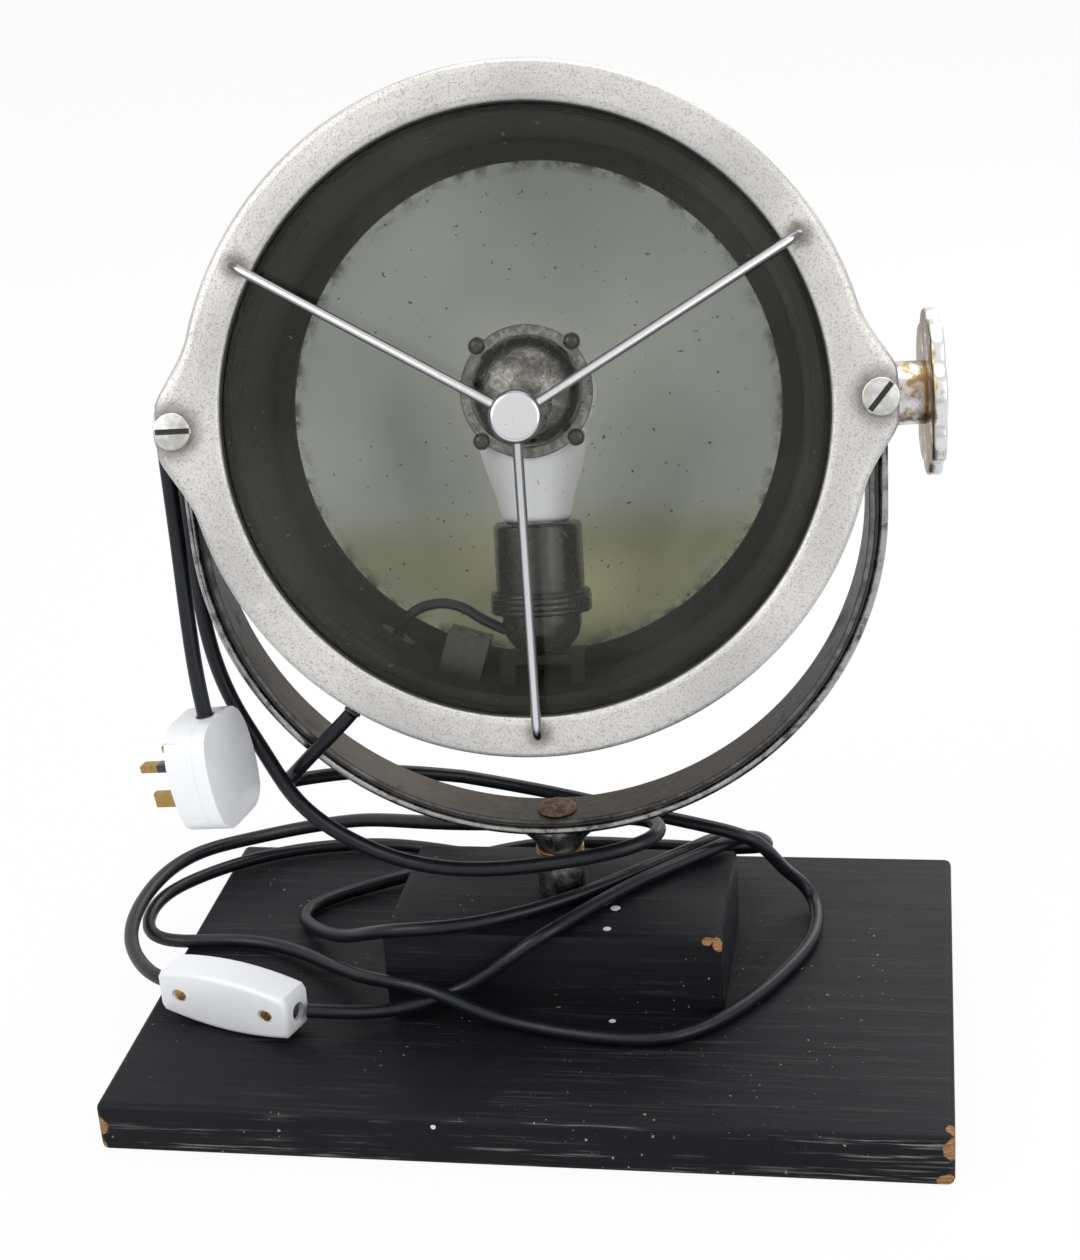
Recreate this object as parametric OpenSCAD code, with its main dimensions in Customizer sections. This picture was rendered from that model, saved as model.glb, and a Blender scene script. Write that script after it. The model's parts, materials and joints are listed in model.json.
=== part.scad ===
// Tabletop searchlight lamp: a drum head on a steel yoke over a painted wooden base.
// Origin: centre of the underside of the base board. +Z is up, the lamp faces -Y.

/* [Base] */
// Width of the base board
board_w = 400; // [380:1:440]
// Depth of the base board, front to back
board_d = 256; // [245:1:300]
// Thickness of the base board
board_t = 26; // [22:0.5:30]
// Rounding of the board's upright corners and long edges
board_round = 4; // [2:0.5:8]
// Width of the riser block
riser_w = 168; // [160:1:176]
// Depth of the riser block
riser_d = 92; // [86:1:98]
// Height of the riser block
riser_h = 42; // [38:0.5:46]
// Bevel along the riser's top edges
riser_bevel = 4; // [1:0.5:8]
// Sideways place of the riser and the pivot on the board
stand_x = 6; // [-10:1:20]
// Front to back place of the riser and the pivot on the board
stand_y = 12; // [0:1:20]

/* [Pivot] */
// Diameter of the pivot post
post_d = 24; // [20:0.5:30]
// Height of the pivot post above the riser, with its washer
post_h = 26; // [22:0.5:34]
// Diameter of the spigot that turns in the post
spigot_d = 12; // [8:0.5:14]
// Thickness of the thrust washer on the post
washer_t = 2; // [1:0.25:3]
// Turn of the yoke about the post in the modelled pose
pan_deg = 6.5; // [0:0.5:12]

/* [Yoke] */
// Distance that the yoke's half round stands out beyond the bezel's rim
yoke_out = 8.5; // [6:0.5:14]
// Straight length of each arm, from the half round to the trunnion axis
arm_len = 52; // [46:1:60]
// Thickness of the yoke band, measured outwards
band_t = 9; // [7:0.5:12]
// Depth of the yoke band, front to back
band_d = 24; // [20:1:30]
// Width of the groove between the two rolled beads
groove_w = 1.8; // [1:0.2:3]
// Depth of that groove
groove_deep = 2; // [1:0.5:3]
// Diameter of the eye at the top of each arm
eye_d = 31; // [28:1:38]
// Height of the forged hub under the yoke
hub_h = 10.5; // [8:0.5:14]
// Width of the forged hub where it flares into the band
hub_w = 46; // [36:1:54]

/* [Head] */
// Upward tilt of the head in the modelled pose
tilt_deg = 16; // [8:0.5:24]
// Distance of the bezel's front face ahead of the trunnion axis
ring_front = 42; // [40:0.5:48]
// Radius of the opening in the bezel
opening_r = 136.5; // [130:0.5:138]
// Width of the bezel's face, from the opening to the rim
bezel_w = 18.5; // [17:0.5:21]
// Depth of the bezel casting
bezel_t = 14; // [12:0.5:16]
// Thickness of the bezel's front lip
lip_t = 4; // [3:0.5:5]
// Length of the bezel's two side lugs beyond its rim
lug_out = 11; // [9:0.5:13]
// Distance of the two lug screws beyond the rim
lug_screw_out = 2.5; // [1:0.5:4]
// Thickness of the drum's front flange
flange_t = 3; // [2:0.5:3.5]
// Step inwards from the bezel's opening to the drum's outside
drum_in = 6.5; // [4:0.5:10]
// Thickness of the drum's sheet steel
drum_wall = 1.6; // [1:0.2:3]
// Straight depth of the drum behind the flange
drum_l = 91; // [85:1:100]
// Depth of the domed back
dome_h = 43; // [42:0.5:46]
// Thickness of the nut on the back
back_nut_t = 5; // [4:0.5:7]
// Thickness of the front glass
glass_t = 3.5; // [3:0.5:4]
// Thickness of the rubber gasket
gasket_t = 2; // [1:0.5:3]

/* [Reflector] */
// Gap from the drum's outside in to the mirror's rim
mirror_in = 8; // [5:0.5:12]
// Distance of the mirror's rim behind the bezel's front face
rim_back = 100; // [96:1:104]
// Focal length of the mirror
focal = 80; // [75:1:95]
// Thickness of the mirror
mirror_t = 2; // [1.5:0.5:3]
// Width of the dark retaining ring round the mirror
retainer_w = 9; // [7:0.5:12]

/* [Lamp] */
// Distance of the bulb's upright axis behind the trunnion axis
bulb_back = 17; // [15:0.5:20]
// Height of the lampholder's foot above the drum's floor
holder_up = 16; // [12:1:20]
// Length of the lampholder's cup
cup_l = 26; // [22:1:30]
// Length of the lampholder's sleeve
sleeve_l = 36; // [32:1:40]
// Height of the globe's underside above the lampholder
globe_up = 30.5; // [28:0.5:33]
// Radius of the bulb's globe
globe_r = 31; // [29:0.5:32]
// Outside radius of the glare cap's dome
cap_r = 26; // [25:0.1:27]
// Depth of the glare cap's dome
cap_deep = 20; // [18:0.5:21]
// Distance of the glare cap's flange ahead of the trunnion axis
cap_back = 9; // [9:0.25:10]
// Outside radius of the glare cap's flange
cap_flange_r = 30.5; // [29.5:0.5:32]
// Radius of the circle of the cap's four feet
post_circle_r = 30.6; // [30:0.1:32]
// Diameter of the glare cap's feet
cap_post_d = 6.5; // [5:0.5:7.5]
// Length of the glare cap's feet
cap_post_l = 19; // [16:1:22]
// Diameter of the lampholder's sleeve
holder_d = 42; // [38:0.5:46]

/* [Guard] */
// Diameter of the guard's rods
rod_d = 4.5; // [3.5:0.5:6]
// Distance of the rods' holes outwards from the bezel's opening
rod_out = 7; // [6:0.5:9]
// Diameter of the guard's centre boss
boss_d = 23; // [20:0.5:28]
// Height of the boss's front face ahead of the bezel
boss_out = 47; // [40:1:55]

/* [Clamp wheel] */
// Diameter across the lobes of the clamp wheel
wheel_d = 77; // [70:1:84]
// Number of lobes
wheel_lobes = 8; // [6:1:10]
// Thickness of the lobed rim
wheel_t = 6.5; // [6:0.5:9]
// Diameter of the wheel's hub
wheel_hub_d = 29; // [26:0.5:34]
// Distance from the yoke arm to the lobed rim
wheel_out = 17.5; // [14:0.5:20]
// Diameter of the trunnion pins
pin_d = 12; // [10:0.5:12.5]
// Diameter of the waist of the left pin's nut, which the flex hangs over
waist_d = 15.8; // [15:0.2:17]
// Length of that waist
waist_l = 8.3; // [8:0.1:10]
// Thickness of the nut's outer collar
collar_t = 2; // [1.5:0.5:4]

/* [Lead] */
// Diameter of the lead from the head to the switch
lead_d = 7; // [6:0.25:7.5]
// Diameter of the lead from the switch to the plug
flex_d = 7.5; // [6:0.25:8]
// Angle of the cable gland round the drum
gland_deg = 236.2; // [234:0.1:238]
// Distance of the cable gland behind the trunnion axis
gland_back = 12; // [8:1:16]
// Length of the tapered strain relief
relief_l = 21; // [20:0.5:24]

/* [Switch] */
// Length of the in-line switch
switch_l = 77; // [75:0.5:79]
// Height of the switch as it lies on its side
switch_h = 30; // [26:0.5:31]
// Thickness of the switch
switch_t = 20.5; // [20:0.5:24]
// Angle that the rocker turns each way
rocker_deg = 9; // [6:1:12]

/* [Plug] */
// Width of the plug
plug_w = 48; // [44:0.5:50]
// Height of the plug
plug_h = 54; // [50:0.5:58]
// Thickness of the plug's base, from the pins' face to the seam
plug_base_t = 16.5; // [15:0.5:18]
// Thickness of the plug's cover
plug_cover_t = 8; // [7:0.5:10]
// Thickness of the plug's walls
plug_wall = 3; // [2:0.5:3.5]
// Distance of the two live pins below the plug's top
plug_pin_z = 20.5; // [19:0.5:22]
// Distance of the earth pin below the live pins
plug_earth_drop = 22.2; // [21:0.1:23]
// Distance of the plug's screw above the earth pin
plug_screw_up = 9; // [8.5:0.5:12]

/* [Fits] */
// Running clearance between a pin and its bore, on the radius
running = 0.05; // [0.02:0.01:0.08]
// Gap left between faces that move past each other
side_gap = 0.4; // [0.3:0.05:0.8]
// Clearance of seated pieces, on the radius
seat_gap = 0.1; // [0.05:0.05:0.3]

/* [Hidden] */
eps = 0.01;

bezel_r = opening_r + bezel_w;
lug_r = bezel_r + lug_out;
lug_screw_r = bezel_r + lug_screw_out;
rod_circle_r = opening_r + rod_out;
drum_r = opening_r - drum_in;
mirror_r = drum_r - mirror_in;
yoke_r = bezel_r + yoke_out;

riser_top = board_t + riser_h;
hub_z = riser_top + post_h;
band_z = hub_z + hub_h;
bend_z = band_z + yoke_r;
axis_z = bend_z + arm_len;
arm_in = yoke_r - band_t;

bezel_back = ring_front - bezel_t;
flange_back = bezel_back - flange_t;
drum_rear = flange_back - drum_l;
rebate_r = opening_r + 4;
glass_front = ring_front - lip_t - gasket_t;
glass_back = glass_front - glass_t;
dome_apex = drum_rear - drum_wall - dome_h;
mirror_rim = ring_front - rim_back;
mirror_apex = mirror_rim - mirror_r * mirror_r / (4 * focal);
function mirror_z(r) = mirror_apex + r * r / (4 * focal);

gland_nut_l = 16;
gland_tip = drum_r + gland_nut_l + relief_l;
relief_end_d = lead_d + 1.4;
stub_r = 14;
wall_bevel = 1;
post_bore_depth = 20;
counterbore_d = 36;
counterbore_h = 12;
bolt_d = 14;

cap_flange_t = 1.6;
cap_wall = 0.8;
post_angles = [45, 135, 225, 315];
rod_angles = [30, 150, 270];
rod_bend_r = 9;
rod_rise = 6;

holder_foot = holder_up - drum_r;
holder_step = holder_foot + cup_l;
holder_top = holder_step + sleeve_l;
globe_y = holder_top + globe_up + globe_r;
globe_cut = globe_r * 0.565;
housing_r = sqrt(globe_r * globe_r - globe_cut * globe_cut);
in_holder = holder_d / 42;
span = 4 * drum_r;

white = "white";
black = [0.09, 0.09, 0.1];
steel = [0.55, 0.54, 0.52];
alloy = [0.72, 0.72, 0.71];
chrome = [0.85, 0.85, 0.86];
brass = [0.72, 0.55, 0.3];

// ---- Places ----
module yoke_at() {
  translate([stand_x, stand_y, 0]) rotate([0, 0, pan_deg]) children();
}
// In the head's own frame X runs along the trunnions, Y is up and Z points out of the glass.
module head_at() {
  yoke_at() translate([0, 0, axis_z]) rotate([90 - tilt_deg, 0, 0]) children();
}
module switch_at() {
  translate([-151.6, -53.6, board_t + switch_h / 2]) rotate([0, 0, -18.2]) children();
}
module plug_at() {
  yoke_at() translate([-160.6, -40, 191]) rotate([0, 0, -15.8]) rotate([0, -8, 0]) children();
}

// ---- Shared shapes ----
// A tube along a list of points, as one polyhedron.
function unit(v) = v / norm(v);
function heading(p, i) = unit(p[min(i + 1, len(p) - 1)] - p[max(i - 1, 0)]);
function carried(n, t) = unit(n - (n * t) * t);
function normals(p, i = 0, n = [0.1, 0.2, 1]) =
  i == len(p) ? [] :
  let (m = carried(n, heading(p, i)))
  concat([m], normals(p, i + 1, m));
module tube(p, d, sides = 8) {
  n = normals(p);
  rings = [for (i = [0 : len(p) - 1])
    let (t = heading(p, i), u = n[i], v = cross(t, u))
    for (k = [0 : sides - 1])
      let (a = 360 * k / sides)
      p[i] + d / 2 * (cos(a) * u + sin(a) * v)];
  last = (len(p) - 1) * sides;
  walls = [for (i = [0 : len(p) - 2], k = [0 : sides - 1])
    let (a = i * sides + k, b = i * sides + (k + 1) % sides)
    for (f = [[a, b, b + sides], [a, b + sides, a + sides]]) f];
  start = [for (k = [1 : sides - 2]) [0, k + 1, k]];
  end = [for (k = [1 : sides - 2]) [last, last + k, last + k + 1]];
  polyhedron(rings, [for (f = concat(walls, start, end)) [f[0], f[2], f[1]]], convexity = 10);
}
module ring(r_out, r_in, z0, z1) {
  translate([0, 0, z0]) difference() {
    cylinder(r = r_out, h = z1 - z0, $fn = 96);
    translate([0, 0, -1]) cylinder(r = r_in, h = z1 - z0 + 2, $fn = 96);
  }
}
module bar(d, l) {
  cylinder(d = d, h = l, $fn = 48);
}
// A shaft along +X from x0 to x1.
module shaft(d, x0, x1) {
  translate([x0, 0, 0]) rotate([0, 90, 0]) bar(d, x1 - x0);
}
module slot_cut(w, l, deep) {
  translate([-l / 2, -w / 2, -deep]) cube([l, w, deep + 1]);
}
module countersunk(d, l) {
  cylinder(d1 = 2 * d, d2 = d, h = d / 2, $fn = 48);
  bar(d, l);
}

// ---- Base ----
module base_board() color(black) difference() {
  translate([-board_w / 2, -board_d / 2, 0]) rounded_plank();
  translate([stand_x, stand_y, -1]) bar(counterbore_d, counterbore_h + 1);
  translate([stand_x, stand_y, -1]) bar(bolt_d + 2 * seat_gap, board_t + 2);
  riser_screw_places() translate([0, 0, -eps]) countersunk(5 + 2 * seat_gap, board_t + 1);
}
// The plank's long edges are worn round at the front and back.
module rounded_plank() {
  translate([0, board_d / 2, board_t / 2]) rotate([90, 0, 90]) linear_extrude(board_w)
    plank_section();
}
module plank_section() {
  r = board_round;
  union() {
    square([board_d - 2 * r, board_t], center = true);
    square([board_d, board_t - 2 * r], center = true);
    for (x = [-1, 1], y = [-1, 1])
      translate([x * (board_d / 2 - r), y * (board_t / 2 - r)]) circle(r = r, $fn = 32);
  }
}
module riser_block() color(black) difference() {
  translate([stand_x, stand_y, board_t]) bevelled_block(riser_w, riser_d, riser_h, riser_bevel);
  translate([stand_x, stand_y, 0]) bar(bolt_d + 2 * seat_gap, riser_top + 1);
  riser_screw_places() bar(5 + 2 * seat_gap, board_t + riser_screw_l);
}
riser_screw_l = 18;
module bevelled_block(w, d, h, b) {
  intersection() {
    translate([-w / 2, 0, 0]) rotate([90, 0, 90]) linear_extrude(w) bevelled_side(d, h, b);
    translate([0, d / 2, 0]) rotate([90, 0, 0]) linear_extrude(d) bevelled_side(w, h, b);
  }
}
module bevelled_side(w, h, b) {
  polygon([[-w / 2, 0], [w / 2, 0], [w / 2, h - b], [w / 2 - b, h], [b - w / 2, h], [-w / 2, h - b]]);
}
module riser_screw_places() {
  for (x = [-1, 1], y = [-1, 1])
    translate([stand_x + x * riser_w * 5 / 14, stand_y + y * riser_d * 2 / 7, 0]) children();
}
module riser_screws() color(steel) riser_screw_places() difference() {
  countersunk(5, board_t + riser_screw_l - 1);
  translate([-3.5, -0.6, -1]) cube([7, 1.2, 2.2]);
}
module pivot_post() color(steel) translate([stand_x, stand_y, 0]) difference() {
  union() {
    translate([0, 0, riser_top]) bar(post_d, post_h - washer_t);
    translate([0, 0, 3]) bar(bolt_d, riser_top - 3 + eps);
  }
  translate([0, 0, hub_z - washer_t - post_bore_depth]) bar(spigot_d + 2 * running, post_bore_depth + 1);
}
module post_nut() color(steel) translate([stand_x, stand_y, 3.5]) difference() {
  cylinder(d = 24, h = counterbore_h - 3.5, $fn = 6);
  translate([0, 0, -1]) bar(bolt_d + 2 * running, counterbore_h);
}
module thrust_washer() color(brass) translate([stand_x, stand_y, hub_z - washer_t]) difference() {
  bar(post_d, washer_t - seat_gap);
  translate([0, 0, -1]) bar(spigot_d + 2 * running, washer_t + 2);
}

// ---- Yoke ----
// Section of the band: X runs outwards from the inner face, Y is the band's depth.
module band_section() {
  lip = band_t * 0.3;
  bead = (band_t - lip - groove_w) / 2;
  half = band_d / 2;
  edge = concat(
    [[0, -half], [lip, -half], [lip, groove_deep - half], [lip + groove_w, groove_deep - half]],
    [for (a = [210 : 30 : 360]) [band_t - bead + bead * cos(a), bead - half + bead * sin(a)]]
  );
  polygon(concat(edge, [for (i = [len(edge) - 1 : -1 : 0]) [edge[i][0], -edge[i][1]]]));
}
module yoke_arm() color(steel) yoke_at() difference() {
  union() {
    translate([0, 0, bend_z]) rotate([90, 0, 0]) rotate([0, 0, 180])
      rotate_extrude(angle = 180, $fn = 128) translate([arm_in, 0]) band_section();
    for (side = [0, 1]) mirror([side, 0, 0]) translate([arm_in, 0, bend_z])
      linear_extrude(arm_len) band_section();
    for (side = [0, 1]) mirror([side, 0, 0]) translate([0, 0, axis_z])
      shaft(eye_d, arm_in, yoke_r);
    translate([0, 0, hub_z]) rotate([90, 0, 0]) linear_extrude(band_d, center = true) hub_outline();
  }
  translate([0, 0, axis_z]) shaft(pin_d + 2 * running, -yoke_r - 1, -arm_in + 1);
  translate([0, 0, axis_z]) shaft(pin_d + 2 * running, arm_in - 1, yoke_r + 1);
  translate([0, 0, hub_z - 1]) bar(spigot_d, hub_h + band_t + 2);
}
// The hub is as wide as the post below and flares into the band above.
module hub_outline() {
  foot = post_d / 2;
  top = hub_h + 3;
  right = [[foot, 0], [foot, hub_h * 0.25], [foot + 2, hub_h * 0.5], [foot + 5.5, hub_h * 0.78],
    [hub_w / 2, hub_h * 1.1], [hub_w / 2, top]];
  polygon(concat(right, [for (i = [len(right) - 1 : -1 : 0]) [-right[i][0], right[i][1]]]));
}
// The spigot is riveted over inside the band and turns in the post.
module pivot_spigot() color([0.4, 0.27, 0.18]) yoke_at() {
  rivet_d = spigot_d + 8;
  rivet_z = bend_z - sqrt(arm_in * arm_in - rivet_d * rivet_d / 4);
  low = hub_z - washer_t - post_bore_depth + 1;
  translate([0, 0, low]) bar(spigot_d, rivet_z - low + eps);
  translate([0, 0, rivet_z]) cylinder(d1 = rivet_d, d2 = spigot_d, h = 3.5, $fn = 48);
}

// ---- Drum ----
module lug_outline(r, tip) {
  circle(r = r, $fn = 128);
  for (side = [-1, 1]) scale([side, 1]) polygon([
    [r - 25, -62], [tip - 6, -20], [tip - 1.5, -12], [tip, -5],
    [tip, 5], [tip - 1.5, 12], [tip - 6, 20], [r - 25, 62]
  ]);
}
module drum_shell() color(black) head_at() difference() {
  union() {
    translate([0, 0, drum_rear]) cylinder(r = drum_r, h = drum_l + eps, $fn = 96);
    translate([0, 0, flange_back]) linear_extrude(flange_t) lug_outline(bezel_r - 2, lug_r - 1);
  }
  translate([0, 0, drum_rear - 1]) cylinder(r = drum_r - drum_wall, h = drum_l + flange_t + 2, $fn = 96);
  lug_places() bar(4 + 2 * seat_gap, 40);
  gland_at() translate([0, 0, drum_r - 10]) bar(12, 20);
}
module lug_places() {
  for (side = [-1, 1]) translate([side * lug_screw_r, 0, flange_back - 1]) children();
}
module gland_at() {
  translate([0, 0, -gland_back]) rotate([0, 0, gland_deg]) rotate([0, 90, 0]) children();
}
// A spun back: a skirt over the drum, a rolled bead and a shallow dome.
module drum_back() color(black) head_at() difference() {
  rotate_extrude($fn = 96) dome_profile(drum_r + seat_gap, drum_rear, drum_wall);
  cylinder(d = 8 + 2 * seat_gap, h = span, center = true, $fn = 48);
}
// Half of the back's wall: a beaded skirt of inner radius r, then a parabolic dome back to the axis.
module dome_profile(r, z, t) {
  steps = 14;
  outer = [for (i = [0 : steps]) let (u = 1 - i / steps) [(r + t) * u, z - t - dome_h * (1 - u * u)]];
  inner = [for (i = [steps : -1 : 0]) let (u = 1 - i / steps) [r * u, z - t - (dome_h - t) * (1 - u * u)]];
  bead = [[r + t, z + 9], [r + t, z + 4], [r + t + 1.5, z + 3], [r + t + 1.5, z], [r + t, z - 1]];
  polygon(concat(bead, outer, inner, [[r, z + 9]]));
}
// The stud that draws the back and the mirror together.
module back_stud() color(steel) head_at() translate([0, 0, dome_apex - back_nut_t]) {
  bar(8, mirror_apex - mirror_t - seat_gap - dome_apex + back_nut_t);
  cylinder(d = 18, h = back_nut_t, $fn = 6);
}
module front_bezel() color(alloy) head_at() difference() {
  union() {
    translate([0, 0, bezel_back]) linear_extrude(bezel_t - 1.5) lug_outline(bezel_r, lug_r);
    rotate_extrude($fn = 128) polygon([[opening_r, bezel_back + 2], [bezel_r, bezel_back + 2],
      [bezel_r, ring_front - 3], [bezel_r - 1, ring_front - 1.4], [bezel_r - 3, ring_front - 0.4],
      [(bezel_r + opening_r) / 2, ring_front], [opening_r + 3, ring_front - 0.3],
      [opening_r, ring_front - 1.5]]);
  }
  translate([0, 0, bezel_back - 1]) cylinder(r = opening_r, h = bezel_t + 2, $fn = 128);
  translate([0, 0, bezel_back - 1]) cylinder(r = rebate_r, h = bezel_t - lip_t + 1, $fn = 128);
  lug_places() bar(4 + 2 * seat_gap, 40);
  lug_places() translate([0, 0, ring_front - 0.5 - flange_back]) bar(17 + 2 * seat_gap, 10);
  rod_places() bar(rod_d + 2 * running, 12);
}
module rod_places() {
  for (a = rod_angles) rotate([0, 0, a]) translate([rod_circle_r, 0, ring_front - lip_t]) children();
}
module lug_screws() color(steel) head_at() for (side = [-1, 1])
  translate([side * lug_screw_r, 0, ring_front - 1.5]) rotate([0, 0, side > 0 ? 50 : 0]) difference() {
    union() {
      bar(17, 2);
      translate([0, 0, 2]) cylinder(d1 = 17, d2 = 10, h = 3, $fn = 48);
      translate([0, 0, flange_back + 1.5 - ring_front]) bar(4, ring_front - flange_back - 1.5 + eps);
    }
    translate([0, 0, 5]) slot_cut(2.5, 20, 2.5);
  }
module glass_gasket() color([0.12, 0.12, 0.12]) head_at()
  ring(rebate_r - seat_gap, opening_r - 0.5, glass_front, glass_front + gasket_t);
module front_glass() color([0.8, 0.9, 0.88, 0.35]) head_at()
  translate([0, 0, glass_back]) cylinder(r = rebate_r - seat_gap, h = glass_t, $fn = 96);
module glass_retainer() color(black) head_at()
  ring(rebate_r - seat_gap, opening_r - 3, bezel_back, glass_back);

// ---- Reflector ----
module reflector() color([0.6, 0.66, 0.6]) head_at() rotate_extrude($fn = 96) mirror_profile();
module mirror_profile() {
  steps = 12;
  front = [for (i = [0 : steps]) let (r = mirror_r * i / steps) [r, mirror_z(r)]];
  back = [for (i = [steps : -1 : 0]) let (r = mirror_r * i / steps) [r, mirror_z(r) - mirror_t]];
  polygon(concat(front, back));
}
// The mirror's rim seats in the rebate of this ring, which is riveted to the drum.
module mirror_retainer() color(black) head_at() difference() {
  ring(drum_r - drum_wall, mirror_r - retainer_w / 3, mirror_rim - 4, mirror_rim + 3);
  translate([0, 0, mirror_rim - 5]) cylinder(r = mirror_r + seat_gap, h = 5 + seat_gap, $fn = 96);
}

// ---- Guard ----
module guard_rods() color(chrome) head_at() {
  rise = boss_out - 6 - rod_rise - rod_bend_r;
  slope = atan(rise / (rod_circle_r - rod_bend_r));
  for (a = rod_angles) rotate([0, 0, a]) {
    translate([rod_circle_r, 0, ring_front - lip_t]) bar(rod_d, lip_t + rod_rise);
    translate([rod_circle_r - rod_bend_r, 0, ring_front + rod_rise]) rotate([90, 0, 0])
      rotate_extrude(angle = 90 - slope, $fn = 64) translate([rod_bend_r, 0]) circle(d = rod_d, $fn = 48);
    translate([rod_circle_r - rod_bend_r, 0, ring_front + rod_rise])
      rotate([0, slope - 90, 0]) translate([rod_bend_r, 0, 0])
      bar(rod_d, (rod_circle_r - rod_bend_r) / cos(slope) - boss_d / 2 + rod_bend_r * tan(slope) + 5);
  }
}
module guard_boss() color(chrome) head_at() difference() {
  translate([0, 0, ring_front + boss_out - 11]) union() {
    bar(boss_d, 9);
    translate([0, 0, 9]) cylinder(d1 = boss_d, d2 = boss_d - 4, h = 2, $fn = 48);
  }
  guard_rods_in_boss();
}
module guard_rods_in_boss() {
  rise = boss_out - 6 - rod_rise - rod_bend_r;
  slope = atan(rise / (rod_circle_r - rod_bend_r));
  for (a = rod_angles) rotate([0, 0, a])
    translate([rod_circle_r - rod_bend_r, 0, ring_front + rod_rise])
    rotate([0, slope - 90, 0]) translate([rod_bend_r, 0, 0])
    bar(rod_d + 2 * running, (rod_circle_r - rod_bend_r) / cos(slope) - boss_d / 2 + rod_bend_r * tan(slope) + 5);
}

// ---- Lamp ----
module cap_post_places() {
  for (a = post_angles) translate([post_circle_r * cos(a), globe_y + post_circle_r * sin(a), 0]) children();
}
// A shallow dished dome with a flat flange, which ends in an ear over each foot.
module glare_cap() color(alloy) head_at() translate([0, globe_y, cap_back]) difference() {
  union() {
    rotate_extrude($fn = 64) cap_profile();
    for (a = post_angles) rotate([0, 0, a]) translate([post_circle_r, 0, 0]) difference() {
      bar(cap_post_d + 2, cap_flange_t);
      translate([-post_circle_r, 0, -1]) cylinder(r = cap_r - cap_wall / 2, h = cap_flange_t + 2, $fn = 64);
    }
  }
  for (a = post_angles) rotate([0, 0, a]) translate([post_circle_r, 0, -1]) bar(2 + 2 * seat_gap, 4);
}
module cap_profile() {
  steps = 10;
  rim = [[cap_r - cap_wall, 0], [cap_flange_r, 0], [cap_flange_r, cap_flange_t]];
  outer = [for (i = [0 : steps]) let (a = 90 * i / steps)
    [cap_r * cos(a), cap_flange_t + cap_deep * sin(a)]];
  inner = [for (i = [steps : -1 : 0]) let (a = 90 * i / steps)
    [(cap_r - cap_wall) * cos(a), cap_flange_t + (cap_deep - cap_wall) * sin(a)]];
  polygon(concat(rim, outer, inner));
}
// Four feet stand on the bulb's shoulder, and are hollowed to fit it.
module cap_posts() color(black) head_at() difference() {
  cap_post_places() translate([0, 0, cap_back - cap_post_l]) bar(cap_post_d, cap_post_l);
  translate([0, globe_y, -bulb_back]) sphere(r = globe_r + seat_gap, $fn = 64);
  translate([0, globe_y - globe_cut - 2 * globe_r, -bulb_back]) rotate([-90, 0, 0])
    cylinder(r = housing_r + seat_gap, h = 2 * globe_r + 0.5, $fn = 64);
}
module cap_screws() color(black) head_at() cap_post_places() translate([0, 0, cap_back]) {
  bar(2, cap_flange_t + eps);
  translate([0, 0, cap_flange_t]) rotate_extrude($fn = 32) polygon([
    [0, 0], [3.8, 0], [3.8, 0.7], [3.4, 1.5], [2.3, 2.2], [1, 2.5], [0, 2.5]
  ]);
}
// The lamp's parts turn about an upright axis, here drawn along Z and set up by lamp_at().
module lamp_at() {
  head_at() translate([0, 0, -bulb_back]) rotate([-90, 0, 0]) children();
}
module lamp_bracket() color(black) head_at() difference() {
  intersection() {
    translate([1 - holder_d / 2, -drum_r, -bulb_back - bracket_d / 2])
      cube([holder_d - 2, drum_r + holder_foot, bracket_d]);
    translate([0, 0, -span / 2]) cylinder(r = drum_r - drum_wall - running, h = span, $fn = 96);
  }
  translate([8 - holder_d / 2, -drum_r, -bulb_back - bracket_d])
    cube([holder_d - 16, drum_r + holder_foot - 4, 2 * bracket_d]);
}
bracket_d = 0.76 * holder_d;
module lampholder_cup() color(black) lamp_at() rotate_extrude($fn = 64) polygon([
  [0, holder_foot], [10 * in_holder, holder_foot], [13 * in_holder, holder_foot + 2],
  [17.5 * in_holder, holder_foot + 8], [19 * in_holder, holder_foot + 14],
  [19 * in_holder, holder_step], [0, holder_step]
]);
module lampholder_sleeve() color(black) lamp_at() rotate_extrude($fn = 64) polygon([
  [14.2 * in_holder, holder_step], [holder_d / 2 - 1, holder_step], [holder_d / 2, holder_step + 3],
  [holder_d / 2, holder_top - 1.5], [holder_d / 2 - 1.5, holder_top], [14.2 * in_holder, holder_top]
]);
module lampholder_ring() color(black) lamp_at() rotate_extrude($fn = 64)
  translate([holder_d / 2 + seat_gap, holder_step - 7 * in_holder])
  polygon([for (p = ring_section) p * in_holder]);
ring_section = [
  [-1.9, 0], [2, 0], [3, 1], [3, 2.2], [2.2, 2.7], [3, 3.2], [3, 5], [2.2, 5.5], [3, 6], [3, 7.8],
  [2.2, 8.3], [2.8, 9], [2, 10.5], [0, 10.5], [0, 6.9], [-1.9, 6.9]
];
module bulb_globe() color([0.95, 0.95, 0.93]) lamp_at() rotate_extrude($fn = 64)
  intersection() {
    translate([0, globe_y]) circle(r = globe_r, $fn = 64);
    translate([0, globe_y - globe_cut]) square([globe_r + 1, 2 * globe_r]);
  }
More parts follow.
